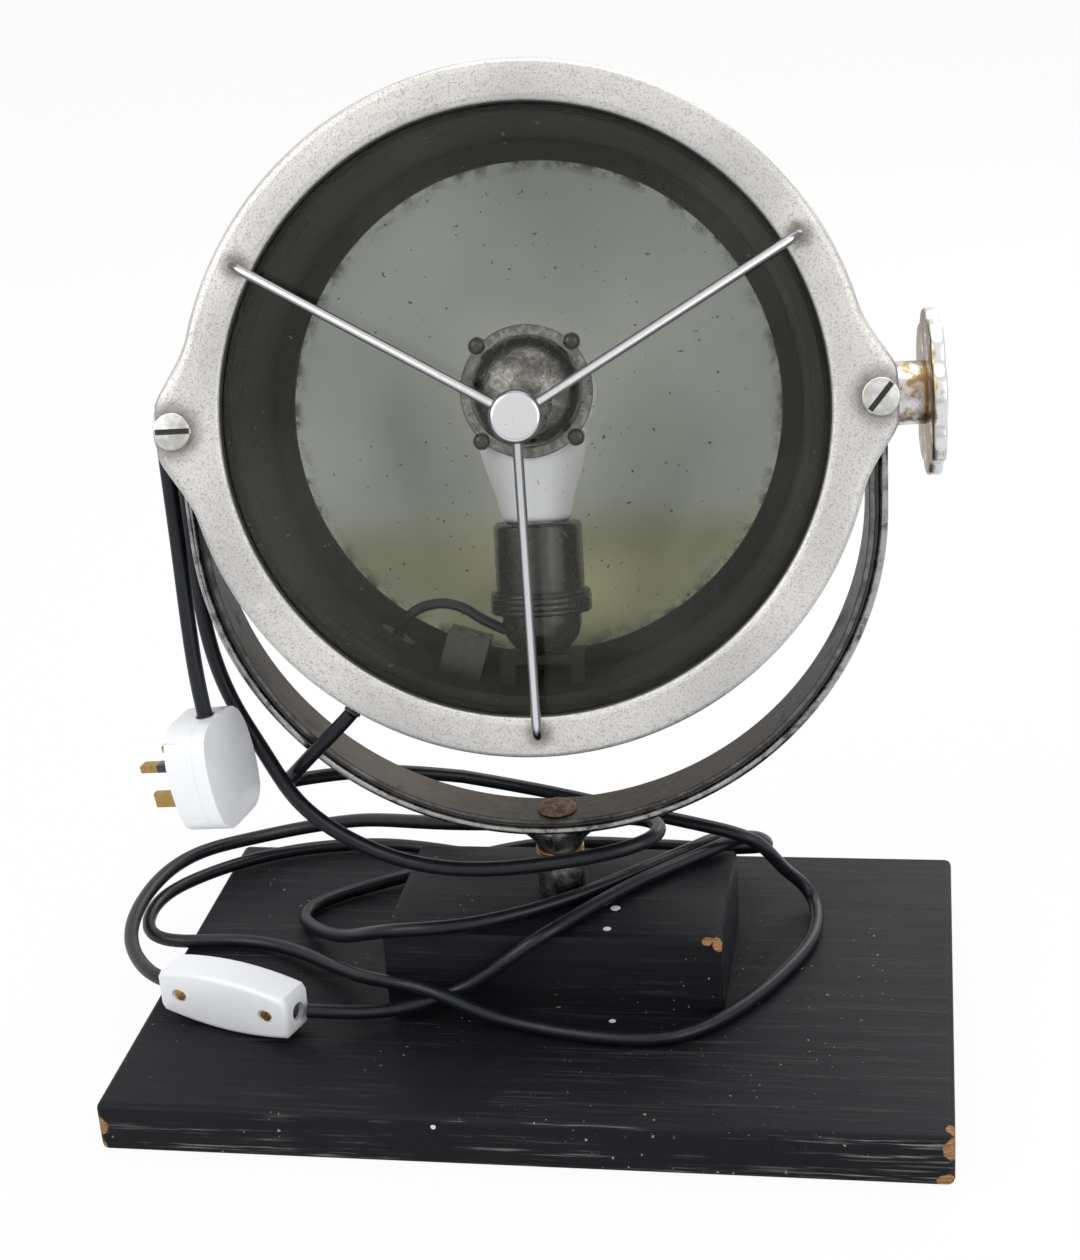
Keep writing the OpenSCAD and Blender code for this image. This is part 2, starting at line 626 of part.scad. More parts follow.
// From the globe the housing narrows to the lampholder; its heights are parts of that distance.
module bulb_housing() color(white) lamp_at() rotate_extrude($fn = 64)
  let (h = globe_y - holder_top) polygon([
    [0, globe_y - globe_cut], [housing_r, globe_y - globe_cut], [0.82 * globe_r, globe_y - 0.431 * h],
    [0.774 * globe_r, globe_y - 0.537 * h], [0.613 * globe_r, globe_y - 0.78 * h],
    [0.535 * globe_r, globe_y - 0.959 * h], [0.484 * globe_r, holder_top + 0.5], [0, holder_top + 0.5]
  ]);
module bulb_screw_cap() color(alloy) lamp_at() rotate_extrude($fn = 64)
  union() {
    translate([0, holder_step]) square([5 * in_holder, 6]);
    translate([0, holder_step + 5]) square([12.4 * in_holder, holder_top - holder_step - 4.5]);
    for (i = [1 : 5]) translate([12.4 * in_holder, holder_step + 4.5 + i * sleeve_l / 8])
      circle(d = 2.4 * in_holder, $fn = 24);
  }
module terminal_block() color(black) head_at() rotate([0, 0, 252]) difference() {
  intersection() {
    translate([drum_r - 22, -10, -gland_back - 12]) cube([30, 20, 24]);
    translate([0, 0, -span / 2]) cylinder(r = drum_r - drum_wall - running, h = span, $fn = 96);
  }
  for (y = [-5, 5]) translate([drum_r - 30, y, -gland_back]) rotate([0, 90, 0]) bar(4, 14);
}
// The lead's inner end, from the gland past the block to the lampholder's foot.
// Its points are parts of the drum's radius.
inner_route = [[-0.538, -0.808, -0.092], [-0.477, -0.715, -0.062], [-0.385, -0.677, -0.054],
  [-0.292, -0.692, -0.07], [-0.215, -0.746, -0.1], [-0.136, -0.792, -0.127]];
module inner_lead() color(black) head_at() tube(drum_r * inner_route, 5);

// ---- Trunnions and clamp wheel ----
module trunnion_foot() {
  intersection() {
    translate([drum_r - 30, -22, -16]) cube([60, 44, 32]);
    difference() {
      translate([0, 0, -drum_r]) cylinder(r = drum_r + 5, h = 2 * drum_r, $fn = 96);
      translate([0, 0, -drum_r - 1]) cylinder(r = drum_r + running, h = 2 * drum_r + 2, $fn = 96);
    }
  }
  difference() {
    shaft(2 * stub_r, drum_r - 2, arm_in - side_gap);
    translate([0, 0, -drum_r]) cylinder(r = drum_r + running, h = 2 * drum_r, $fn = 96);
  }
}
module trunnion_left() color(steel) head_at() mirror([1, 0, 0]) {
  trunnion_foot();
  shaft(pin_d, arm_in - 1, nut_end - 1);
}
module trunnion_right() color(steel) head_at() {
  trunnion_foot();
  shaft(pin_d, arm_in - 1, yoke_r + wheel_out + wheel_t - 3);
}
nut_end = yoke_r + side_gap + waist_l + collar_t;
// A round nut outside the left arm; the flex hangs over its waist.
module saddle_nut() color(steel) head_at() mirror([1, 0, 0]) difference() {
  union() {
    shaft(waist_d, yoke_r + side_gap, nut_end);
    shaft(waist_d + 4, nut_end - collar_t, nut_end);
  }
  shaft(pin_d + 2 * running, yoke_r - 1, nut_end + 1);
}
module wheel_outline() {
  lobe = wheel_d * 0.105;
  difference() {
    circle(r = wheel_d / 2 - lobe * 0.4, $fn = 96);
    for (i = [0 : wheel_lobes - 1]) rotate([0, 0, 360 * (i + 0.5) / wheel_lobes])
      translate([wheel_d / 2 + lobe * 0.2, 0]) circle(r = lobe * 0.9, $fn = 32);
  }
  for (i = [0 : wheel_lobes - 1]) rotate([0, 0, 360 * i / wheel_lobes])
    translate([wheel_d / 2 - lobe, 0]) circle(r = lobe, $fn = 32);
}
module clamp_wheel() color(chrome) head_at() translate([yoke_r, 0, 0]) rotate([0, 90, 0]) difference() {
  union() {
    translate([0, 0, side_gap]) bar(wheel_hub_d, wheel_out + 2);
    translate([0, 0, wheel_out]) linear_extrude(wheel_t) wheel_outline();
    translate([0, 0, wheel_out + wheel_t]) cylinder(d1 = wheel_hub_d, d2 = wheel_hub_d - 6, h = 3, $fn = 64);
  }
  translate([0, 0, -1]) bar(pin_d + 2 * running, wheel_out + wheel_t);
  translate([0, 0, wheel_out - 1]) ring(wheel_d / 2 - 13, wheel_hub_d / 2 + 3, 0, 3.5);
}

// ---- Gland and leads ----
module cable_gland() color(black) head_at() gland_at() difference() {
  union() {
    translate([0, 0, sqrt(pow(drum_r - drum_wall, 2) - 100) - seat_gap - 5])
      cylinder(d = 20, h = 5, $fn = 6);
    translate([0, 0, drum_r - drum_wall - 1]) bar(12 - 2 * seat_gap, drum_wall + 2);
    translate([0, 0, drum_r]) cylinder(d = 22, h = 7, $fn = 6);
    translate([0, 0, drum_r + 7]) bar(18, gland_nut_l - 7);
  }
  translate([0, 0, drum_r - 20]) bar(lead_d, 60);
}
module strain_relief() color(black) head_at() gland_at() difference() {
  translate([0, 0, drum_r + gland_nut_l])
    cylinder(d1 = lead_d + 4, d2 = relief_end_d, h = relief_l, $fn = 48);
  translate([0, 0, drum_r]) bar(lead_d, 60);
}
// The leads' points. Those on the yoke are in the yoke's frame, the others in the part's.
function off_gland(l) =
  let (r = gland_tip + l, x = r * cos(gland_deg), y = r * sin(gland_deg))
  [x, y * sin(tilt_deg) + gland_back * cos(tilt_deg),
    axis_z + y * cos(tilt_deg) - gland_back * sin(tilt_deg)];
lead_drop_route = concat([off_gland(1), off_gland(8)], [
  [-117.5, -21, 157], [-130, -12, 142], [-131, 4, 133.5], [-115, 22, 128],
  [-88, 35, 123],
  [-51, 47, 110], [-12, 54, 97], [26, 46, 90], [60, 36, 85.5], [88, 24.2, 83.4], [94.7, 22.2, 80.6]
]);
lead_route = [
  [97.86, 44.74, 80.5], [103.4, 43.9, 78.4], [112, 57, 61], [123, 74, 42], [131, 62, 31],
  [131, 37, 30], [114, -7, 30], [85, -49, 30],
  [56, -64, 30], [-8, -55, 31], [-30, -53, 36], [-57, -46, 46], [-84, -38, 41],
  [-112, -12, 34], [-160, 16, 30], [-206, 13, 30], [-226, 35, 30], [-225, 62, 30], [-203, 92, 30],
  [-160, 119, 30], [-104, 124, 30], [-40, 108, 30], [44, 97, 35], [70, 88, 48], [86, 77, 64],
  [77, 61, 73], [68, 49, 72], [17, -1, 72], [-10, -22, 72], [-42, -37, 72], [-66, -41, 65], [-86, -37, 55],
  [-98, -13, 46], [-142, 33, 30], [-137, 55, 30], [-98, 84, 30], [-30, 111, 39], [24, 125, 33],
  [70, 119, 34], [100, 102, 45], [105, 77, 61], [92, 62, 73], [78, 47, 72.5], [50, 21, 72], [9, -34, 72],
  [-13, -43, 60], [-44, -41, 38], [-70, -50, 32.5], [-95, -61, 38], [-110, -65, 41]
];
flex_floor_route = [
  [-193, -40, 41], [-214, -18, 38], [-229, 14, 38.5], [-231, 50, 39], [-219, 90, 39], [-190, 107, 41],
  [-150, 108, 50], [-109.4, 90.9, 63.8]
];
flex_drop_route = concat([
  [-105, 91, 64], [-71, 63, 75], [-31, 46, 82], [8, 36, 88], [42, 24, 95], [53, 1, 99], [38, -18, 100],
  [6, -22, 96], [-34, -20, 91], [-72, -23, 97], [-104, -29, 118], [-124, -28, 136], [-135, -19, 151],
  [-145.3, -12, 167], [-156.5, -5, 184], [-164, 0, 212], [-167.4, 9, 241], [-168.2, 14, 268]
], [for (a = [0 : 22.5 : 180]) [-168.1, 16 * cos(a), 316.4 + 16 * sin(a)]], [
  [-167, -20, 281], [-165.3, -28, 254], [-164, -34, 231], [-162.5, -38.5, 209], [-160.6, -40, 191.1]
]);
module lamp_lead_drop() color(black) yoke_at() tube(lead_drop_route, lead_d);
module lamp_lead() color(black) tube(lead_route, lead_d);
module flex_floor() color(black) tube(flex_floor_route, flex_d);
module flex_drop() color(black) yoke_at() tube(flex_drop_route, flex_d);

// ---- In-line switch: X along the flex, -Y is the screwed back, Z up ----
module switch_outline(grow = 0) {
  steps = 10;
  half = switch_l / 2 + grow;
  end_h = switch_h * 0.36 + grow;
  mid_h = switch_h / 2 + grow;
  top = [for (i = [0 : steps]) let (x = -half + 2 + (2 * half - 4) * i / steps, u = x / half)
    [x, mid_h - (mid_h - end_h) * u * u]];
  polygon(concat([[-half, end_h - 3]], top, [[half, end_h - 3], [half, 3 - end_h]],
    [for (i = [steps : -1 : 0]) [top[i][0], -top[i][1]]], [[-half, 3 - end_h]]));
}
module switch_half(y0, y1) {
  translate([0, y1, 0]) rotate([90, 0, 0]) linear_extrude(y1 - y0) switch_outline();
}
module switch_ends() {
  for (side = [-1, 1]) translate([side * switch_l / 2, 0, 0]) rotate([0, 90, 0])
    cylinder(d = flex_d + 1, h = 8, center = true, $fn = 48);
}
module switch_hollow(y0, y1) {
  translate([0, y1, 0]) rotate([90, 0, 0]) linear_extrude(y1 - y0) switch_outline(-2.5);
}
seam_y = 2;
screw_x = switch_l / 2 - 12.9;
module switch_back() color(white) switch_at() difference() {
  union() {
    switch_half(-switch_t / 2 + 1.5, seam_y);
    translate([0, -switch_t / 2 + 1.5, 0]) rotate([90, 0, 0]) linear_extrude(1.5) switch_outline(-1.2);
  }
  switch_hollow(-switch_t / 2 + 3, seam_y + 1);
  for (x = [-screw_x, screw_x]) translate([x, -switch_t / 2 - 1, 0]) rotate([-90, 0, 0]) bar(7, 2.5);
  for (x = [-screw_x, screw_x]) translate([x, -switch_t / 2 - 1, 0]) rotate([-90, 0, 0]) bar(3 + 2 * seat_gap, 6);
  switch_ends();
}
module switch_cover() color(white) switch_at() {
  difference() {
    union() {
      switch_half(seam_y, switch_t / 2 - 1.5);
      translate([0, switch_t / 2, 0]) rotate([90, 0, 0]) linear_extrude(1.5) switch_outline(-1.2);
    }
    switch_hollow(seam_y - 1, switch_t / 2 - 2.5);
    translate([-10, 0, -5.5]) cube([20, switch_t, 11]);
    switch_ends();
    translate([0, rocker_y, -12]) bar(2 + 2 * running, 24);
  }
  for (x = [-screw_x, screw_x]) translate([x, seam_y - 4, 0]) rotate([-90, 0, 0]) difference() {
    bar(6.5, switch_t / 2 - 2.5 - seam_y + 4);
    bar(3, switch_t);
  }
}
rocker_y = switch_t / 2 - 2;
// The rocker turns on its pin, across the switch's height.
module switch_rocker() color([0.93, 0.93, 0.92]) switch_at() translate([0, rocker_y, 0])
  rotate([0, 0, rocker_deg]) difference() {
    translate([0, 0, -5.2]) linear_extrude(10.4) polygon([
      [-9, -1], [-4, -4.5], [4, -4.5], [9, -1], [9.2, 2.2], [5, 3.4], [0, 2.6], [-5, 3.4], [-9.2, 2.2]
    ]);
    translate([0, 0, -8]) bar(2 + 2 * running, 16);
  }
module rocker_pin() color(steel) switch_at() translate([0, rocker_y, -7.5]) bar(2, 15);
module switch_screws() color(brass) switch_at() for (x = [-screw_x, screw_x])
  translate([x, -switch_t / 2 + 1.5, 0]) rotate([-90, 0, 0]) {
    bar(3, 14);
    difference() {
      translate([0, 0, -1.3]) bar(6, 1.3);
      translate([-4, -0.5, -2]) cube([8, 1, 1.4]);
    }
  }
module switch_contacts() color(brass) switch_at() for (x = [-17, 12])
  translate([x, -switch_t / 2 + 3, -4]) cube([5, 9, 8]);

// ---- Plug: the seam is at X 0, the pins are on -X, the cover on +X, and the flex enters on top ----
module plug_outline(shrink = 0) {
  w = plug_w / 2 - shrink;
  right = [[w * 0.6, -shrink], [w * 0.84, -5], [w * 0.95, -11], [w, -18], [w, 14 - plug_h],
    [w * 0.93, 6 - plug_h + shrink / 2], [w * 0.78, 1.5 - plug_h + shrink], [w * 0.6, shrink - plug_h]];
  polygon(concat(right, [for (i = [len(right) - 1 : -1 : 0]) [-right[i][0], right[i][1]]]));
}
// Slices of the plug's outline are stacked along X.
module plug_slice(x0, x1, shrink) {
  translate([x0, 0, 0]) rotate([90, 0, 90]) linear_extrude(x1 - x0) plug_outline(shrink);
}
plug_earth_z = plug_pin_z + plug_earth_drop;
plug_screw_z = plug_earth_z - plug_screw_up;
pin_gap = 0.025;
module plug_base() color(white) plug_at() difference() {
  union() {
    plug_slice(-plug_base_t, 1 - plug_base_t, 1.2);
    plug_slice(1 - plug_base_t, 0, 0);
  }
  plug_slice(plug_wall - plug_base_t, 1, plug_wall);
  flex_hole();
  live_pins(pin_gap);
  earth_pin(pin_gap);
  translate([-plug_base_t, 0, -plug_screw_z]) rotate([0, 90, 0]) translate([0, 0, -1]) bar(8, 2.7);
  translate([-plug_base_t, 0, -plug_screw_z]) rotate([0, 90, 0]) bar(4 + 2 * seat_gap, 10);
}
module flex_hole() {
  translate([0, 0, -4]) bar(flex_d + 1, 8);
}
module plug_cover() color(white) plug_at() {
  difference() {
    union() {
      plug_slice(0, plug_cover_t - 1, 0);
      plug_slice(plug_cover_t - 1, plug_cover_t, 1.2);
    }
    plug_slice(-1, plug_cover_t - plug_wall, plug_wall);
    flex_hole();
  }
  // The screw's pillar stands on the inside of the cover.
  translate([plug_wall + 0.2 - plug_base_t, 0, -plug_screw_z]) rotate([0, 90, 0]) difference() {
    bar(8, plug_base_t + plug_cover_t - 2 * plug_wall - 0.2 + eps);
    translate([0, 0, -1]) bar(4, 14);
  }
}
module live_pins(gap) {
  for (y = [-11, 11])
    translate([-plug_base_t - 17.7, y - 3.175 - gap, -plug_pin_z - 2 - gap])
    cube([17.7 + plug_wall + 4, 6.35 + 2 * gap, 4 + 2 * gap]);
}
module earth_pin(gap) {
  translate([-plug_base_t - 22.7, -2 - gap, -plug_earth_z - 4 - gap])
    cube([22.7 + plug_wall + 4, 4 + 2 * gap, 8 + 2 * gap]);
}
module plug_live_pins() color(brass) plug_at() live_pins(0);
module plug_earth_pin() color(brass) plug_at() earth_pin(0);
module plug_fuse() color(white) plug_at()
  translate([plug_wall + 3.15 + seat_gap - plug_base_t, -12, -plug_pin_z - 29.3]) bar(6.3, 25);
module plug_screw() color(steel) plug_at()
  translate([1.7 - plug_base_t, 0, -plug_screw_z]) rotate([0, -90, 0]) difference() {
    union() {
      bar(7, 1.5);
      translate([0, 0, -12]) bar(4, 12.1);
    }
    translate([0, 0, 1.5]) slot_cut(1, 8, 0.8);
  }

base_board();
riser_block();
riser_screws();
pivot_post();
post_nut();
thrust_washer();
yoke_arm();
pivot_spigot();
drum_shell();
drum_back();
back_stud();
front_bezel();
lug_screws();
glass_gasket();
front_glass();
glass_retainer();
reflector();
mirror_retainer();
guard_rods();
guard_boss();
glare_cap();
cap_posts();
cap_screws();
lamp_bracket();
lampholder_cup();
lampholder_sleeve();
lampholder_ring();
bulb_globe();
bulb_housing();
bulb_screw_cap();
terminal_block();
inner_lead();
trunnion_left();
trunnion_right();
saddle_nut();
cable_gland();
strain_relief();
clamp_wheel();
lamp_lead_drop();
lamp_lead();
flex_floor();
flex_drop();
switch_back();
switch_cover();
switch_rocker();
rocker_pin();
switch_screws();
switch_contacts();
plug_base();
plug_cover();
plug_live_pins();
plug_earth_pin();
plug_fuse();
plug_screw();
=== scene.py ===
"""Looks for a tabletop searchlight lamp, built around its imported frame."""
import json
import math
from functools import cached_property

import bmesh
import bpy
from bpy.props import FloatProperty, FloatVectorProperty, PointerProperty
from mathutils import Matrix, Vector
from mathutils.geometry import interpolate_bezier


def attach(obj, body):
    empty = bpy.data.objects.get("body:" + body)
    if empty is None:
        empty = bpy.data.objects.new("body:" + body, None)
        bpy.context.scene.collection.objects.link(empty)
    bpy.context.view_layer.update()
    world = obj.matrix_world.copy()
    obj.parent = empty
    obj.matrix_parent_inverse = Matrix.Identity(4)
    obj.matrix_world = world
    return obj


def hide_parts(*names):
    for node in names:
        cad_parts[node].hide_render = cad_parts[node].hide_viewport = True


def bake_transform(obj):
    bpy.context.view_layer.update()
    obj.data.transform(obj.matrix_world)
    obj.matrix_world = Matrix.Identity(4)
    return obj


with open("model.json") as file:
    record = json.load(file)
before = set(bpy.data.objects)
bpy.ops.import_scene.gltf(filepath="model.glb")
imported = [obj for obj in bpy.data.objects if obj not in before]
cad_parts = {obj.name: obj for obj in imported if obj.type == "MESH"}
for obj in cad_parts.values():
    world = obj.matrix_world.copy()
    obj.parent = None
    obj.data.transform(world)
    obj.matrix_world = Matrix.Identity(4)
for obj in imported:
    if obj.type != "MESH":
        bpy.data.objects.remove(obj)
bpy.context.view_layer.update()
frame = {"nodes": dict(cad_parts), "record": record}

bl_info = {
    "name": "Tabletop searchlight lamp",
    "version": (1, 0, 0),
    "blender": (4, 5, 0),
    "location": "3D View > Sidebar > Searchlight",
    "description": "Dresses the packed searchlight lamp with its pieces and finishes",
    "category": "Object",
}

# ---- Places, in millimetres ----
MM = 0.001


def place(x=0, y=0, z=0, *turns):
    """A matrix that moves by x, y, z after turning by each (degrees, axis)."""
    matrix = Matrix.Translation((x, y, z))
    for degrees, axis in turns:
        matrix = matrix @ Matrix.Rotation(math.radians(degrees), 4, axis)
    return matrix


WORLD = Matrix()
YOKE = place(6, 12, 0, (6.5, "Z"))
HEAD = YOKE @ place(0, 0, 320, (74, "X"))
LAMP = HEAD @ place(0, 0, -17, (-90, "X"))
GLAND = HEAD @ place(0, 0, -12, (236.2, "Z"), (90, "Y"))
SWITCH = place(-151.6, -53.6, 41, (-18.2, "Z"))
PLUG = YOKE @ place(-160.6, -40, 191, (-15.8, "Z"), (-8, "Y"))
ALONG_X = place(0, 0, 0, (90, "Y"))
ALONG_MINUS_X = place(0, 0, 0, (-90, "Y"))

# Heights and radii of the head, from the part's source
RING_FRONT = 42
BEZEL_BACK = 28
BEZEL_R = 155
OPENING_R = 136.5
REBATE_R = 140.5
FLANGE_BACK = 25
DRUM_R = 130
DRUM_REAR = -66
DOME_H = 43
MIRROR_R = 122
MIRROR_RIM = -58
FOCAL = 80
ARM_IN = 154.5
ARM_OUT = 163.5
BEND_Z = 268
AXIS_Z = 320
LUG_SCREW_R = 157.5
GLOBE_Y = 9.5
GLOBE_R = 31
SHEET = 1.6
PIN_BORE_R = 6.05
ROD_CIRCLE_R = 143.5
ROD_TURNS = (30, 150, 270)
LUG_SCREW_Z = 40.5
LUG_SCREWS = ((-1, 0), (1, 50))  # the side, and the turn of the slot

# Places on the post, the switch and the plug
POST_TOP = 92
SWITCH_SCREWS = ((-25.6, 35), (25.6, 60))  # the place along the switch, and the turn of the slot
SWITCH_FACE = 10.25
SCREW_SEAT = 8.75
FLAT_PINS = (-11, 11)

# The camera and the lights, with distances in metres
CAMERA_AIM = Vector((6, 0, 215.5)) * MM
CAMERA_AWAY = 1.055
CAMERA_TURNS = (10.8, 22.8, -4.15)
CAMERA_LENS = 2220 / 1260 * 36
LIGHT_AIM = Vector((0, 0, 0.22))
LIGHTS = (
    ("key", (-1.5, -1.5, 1.7), 1.6, 26), ("fill", (1.7, -1.2, 1.0), 1.4, 13),
    ("top", (0.2, 0.5, 2.2), 1.8, 22), ("rear", (0.8, 1.6, 1.2), 1.0, 9),
)

# The runs of the leads

LEAD_DROP = [
    (-93, -26.8, 183.1), (-103, -26, 172.5), (-117.5, -20, 157), (-128, -13, 144), (-133, -6, 137.5),
    (-132, 3, 133.5), (-115, 16, 129.5), (-88, 30, 124), (-51, 45, 111),
]
LEAD_DROP_END = [(-51, 45, 111), (-12, 54, 97), (26, 46, 90), (60, 36, 85.5), (84, 26.5, 83.6)]
LEAD_FLOOR = [
    (97, 47, 80.4), (104.5, 50.5, 73.5), (110.5, 58, 61), (116, 68, 48), (123, 74, 39), (129, 69, 31.5),
    (131, 58, 30), (131, 37, 30), (124, 15, 30), (114, -7, 30), (100, -31, 30), (85, -49, 30), (72, -59, 30),
    (56, -64, 30), (25, -62, 30), (-8, -55, 31), (-30, -53, 36), (-57, -46, 46), (-84, -37, 41),
    (-112, -12, 34), (-137, 7, 31), (-160, 16, 30), (-183, 16, 30), (-206, 13, 30), (-222, 21, 30),
    (-228, 40, 30), (-227, 60, 30), (-218, 76, 30), (-203, 92, 30), (-185, 106, 30), (-160, 118, 30),
    (-130, 124, 30), (-104, 124, 30), (-70, 116, 30), (-40, 108, 30), (0, 101, 30), (30, 99, 31),
    (48, 96, 36), (70, 88, 48), (85, 77, 63), (80, 63, 71.8), (68, 49, 72), (44, 26, 72), (17, -1, 72),
    (-10, -20, 72), (-38, -34, 72), (-62, -37, 71.5), (-82, -31, 66), (-100, -15, 53), (-117, 8, 40),
    (-132, 28, 32), (-143, 42, 30), (-139, 56, 30), (-122, 71, 30), (-98, 85, 30.5), (-65, 100, 35),
    (-30, 111, 39), (0, 120, 36), (24, 124, 33), (50, 123, 33), (72, 117, 35), (92, 108, 41), (102, 97, 48),
    (104, 80, 60), (98, 68, 70), (88, 57, 73.4), (78, 47, 72.5), (50, 21, 72), (28, -6, 72), (9, -34, 72),
    (0, -40, 69), (-13, -43, 60), (-28, -42, 47), (-44, -41, 38), (-70, -50, 32.5), (-95, -61, 38),
    (-111, -65, 41),
]
FLEX_FLOOR = [
    (-191, -41, 41), (-200, -35, 40), (-214, -18, 38), (-225, 2, 38.2), (-230, 25, 38.7), (-230.5, 50, 39),
    (-227, 72, 39), (-219, 90, 39), (-206, 101, 39.7), (-190, 107, 41), (-170, 109.5, 45), (-150, 108, 50),
    (-128, 100, 57.5), (-109, 90.5, 64),
]
SADDLE_TURNS = [math.radians(a) for a in range(0, 181, 30)]
SADDLE_ARC = [(-168.1, 16 * math.cos(a), 316.4 + 16 * math.sin(a)) for a in SADDLE_TURNS]
FLEX_DROP = [
    (-71, 63, 75), (-31, 46, 82), (8, 36, 88), (42, 24, 95), (53, 1, 99), (38, -18, 100), (6, -22, 96),
    (-34, -20, 91), (-72, -23, 97), (-104, -29, 118), (-124, -28, 136), (-135, -19, 151), (-145.3, -12, 167),
    (-156, -5, 184), (-164, 0, 212), (-167.4, 9, 241), (-168.2, 14, 268), *SADDLE_ARC, (-167, -20, 281),
    (-165.3, -28, 254), (-164, -34, 231), (-162.5, -38.5, 209), (-160.6, -40, 191.1),
]
INNER_LEAD = [
    (-70, -105, -12), (-62, -93, -8), (-50, -88, -7), (-38, -90, -9), (-28, -97, -13), (-17.7, -103, -16.5),
]


# ---- Shapes ----
def softened(points, radius, closed=False, steps=3):
    """The points with each corner rounded."""
    made = []
    for i, point in enumerate(points):
        corner = Vector(point)
        if not closed and i in (0, len(points) - 1):
            made.append(tuple(corner))
            continue
        before = Vector(points[i - 1]) - corner
        after = Vector(points[(i + 1) % len(points)]) - corner
        reach = min(radius, before.length / 2, after.length / 2)
        start = corner + before.normalized() * reach
        end = corner + after.normalized() * reach
        for k in range(steps + 1):
            t = k / steps
            made.append(tuple((1 - t) ** 2 * start + 2 * t * (1 - t) * corner + t * t * end))
    return made


def spun(profile, steps=96, closed=False):
    """A shape turned about Z from (radius, height) points."""
    bm = bmesh.new()
    verts = [bm.verts.new((radius, 0, height)) for radius, height in profile]
    pairs = list(zip(verts, verts[1:]))
    if closed:
        pairs.append((verts[-1], verts[0]))
    edges = [bm.edges.new(pair) for pair in pairs]
    bmesh.ops.spin(
        bm, geom=verts + edges, cent=(0, 0, 0), axis=(0, 0, 1), angle=math.tau, steps=steps, use_merge=True
    )
    bmesh.ops.remove_doubles(bm, verts=bm.verts, dist=1e-4)
    bmesh.ops.recalc_face_normals(bm, faces=bm.faces)
    return bm


def turned(profile, rounding, steps, closed=False):
    """A shape turned about Z from a profile whose corners are rounded."""
    return spun(softened(profile, rounding, closed), steps, closed)


def bevelled(bm, edges, offset, segments=3, clamp=False):
    """The shape with some of its edges rounded."""
    bmesh.ops.bevel(
        bm, geom=edges, offset=offset, segments=segments, profile=0.5, affect="EDGES", material=-1,
        clamp_overlap=clamp,
    )
    return bm


def level_edges(bm, height):
    """The edges of a shape that lie at a height."""
    return [edge for edge in bm.edges if all(abs(vert.co.z - height) < 0.1 for vert in edge.verts)]


def extruded(outline, low, high, bevel=0.0, segments=3):
    """A shape with that outline from z low to high, its rims bevelled."""
    bm = bmesh.new()
    face = bm.faces.new([bm.verts.new((x, y, low)) for x, y in outline])
    grown = bmesh.ops.extrude_face_region(bm, geom=[face])["geom"]
    tops = [item for item in grown if isinstance(item, bmesh.types.BMVert)]
    bmesh.ops.translate(bm, verts=tops, vec=(0, 0, high - low))
    bmesh.ops.holes_fill(bm, edges=bm.edges)
    bmesh.ops.recalc_face_normals(bm, faces=bm.faces)
    if bevel:
        rims = [
            edge for edge in bm.edges
            if abs(edge.verts[0].co.z - edge.verts[1].co.z) < 1e-6 and edge.calc_face_angle(0) > 0.6
        ]
        bevelled(bm, rims, bevel, segments, True)
    return bm


def block(low, high, bevel=0.0, segments=3):
    """A box between two corners with its edges bevelled."""
    bm = bmesh.new()
    low, high = Vector(low), Vector(high)
    size = Matrix.Diagonal((*(high - low), 1))
    bmesh.ops.create_cube(bm, size=1, matrix=Matrix.Translation((low + high) / 2) @ size)
    if bevel:
        bevelled(bm, bm.edges[:], bevel, segments)
    return bm


def joined(*parts):
    """One shape from several (shape, place) pairs."""
    whole = bmesh.new()
    for part, at in parts:
        bmesh.ops.transform(part, matrix=at, verts=part.verts)
        mesh = bpy.data.meshes.new("part")
        part.to_mesh(mesh)
        part.free()
        whole.from_mesh(mesh)
        bpy.data.meshes.remove(mesh)
    return whole


def loose(bm):
    """A shape as an object of its own, for a modifier."""
    mesh = bpy.data.meshes.new("loose")
    bm.to_mesh(mesh)
    bm.free()
    obj = bpy.data.objects.new("loose", mesh)
    bpy.context.scene.collection.objects.link(obj)
    return obj


def settled(obj):
    """An object's evaluated shape."""
    bpy.context.view_layer.update()
    evaluated = obj.evaluated_get(bpy.context.evaluated_depsgraph_get())
    mesh = bpy.data.meshes.new_from_object(evaluated)
    bm = bmesh.new()
    bm.from_mesh(mesh)
    bpy.data.meshes.remove(mesh)
    return bm


def cut(bm, *tools):
    """The shape less the tools."""
    body = loose(bm)
    cutters = [loose(tool) for tool in tools]
    for cutter in cutters:
        modifier = body.modifiers.new("cut", "BOOLEAN")
        modifier.operation, modifier.solver, modifier.object = "DIFFERENCE", "EXACT", cutter
    made = settled(body)
    for obj in (body, *cutters):
        bpy.data.objects.remove(obj)
    return made


def flowing(points, steps=6):
    """A smooth line through the points."""
    points = [Vector(point) for point in points]
    ends = list(zip(points, points[1:]))
    ways = [points[1] - points[0]]
    ways += [after - before for before, after in zip(points, points[2:])]
    ways.append(points[-1] - points[-2])
    ways = [way.normalized() for way in ways]
    line = []
    for (start, end), leave, arrive in zip(ends, ways, ways[1:]):
        reach = (end - start).length * 0.36
        part = interpolate_bezier(start, start + leave * reach, end - arrive * reach, end, steps + 1)
        line += part[:-1]
    return [*line, points[-1]]


def eased(line, passes=24):
    """The line with its sharpest turns let out and its ends kept."""
    for _ in range(passes):
        inner = [(before + here * 2 + after) / 4 for before, here, after in zip(line, line[1:], line[2:])]
        line = [line[0], *inner, line[-1]]
    return line


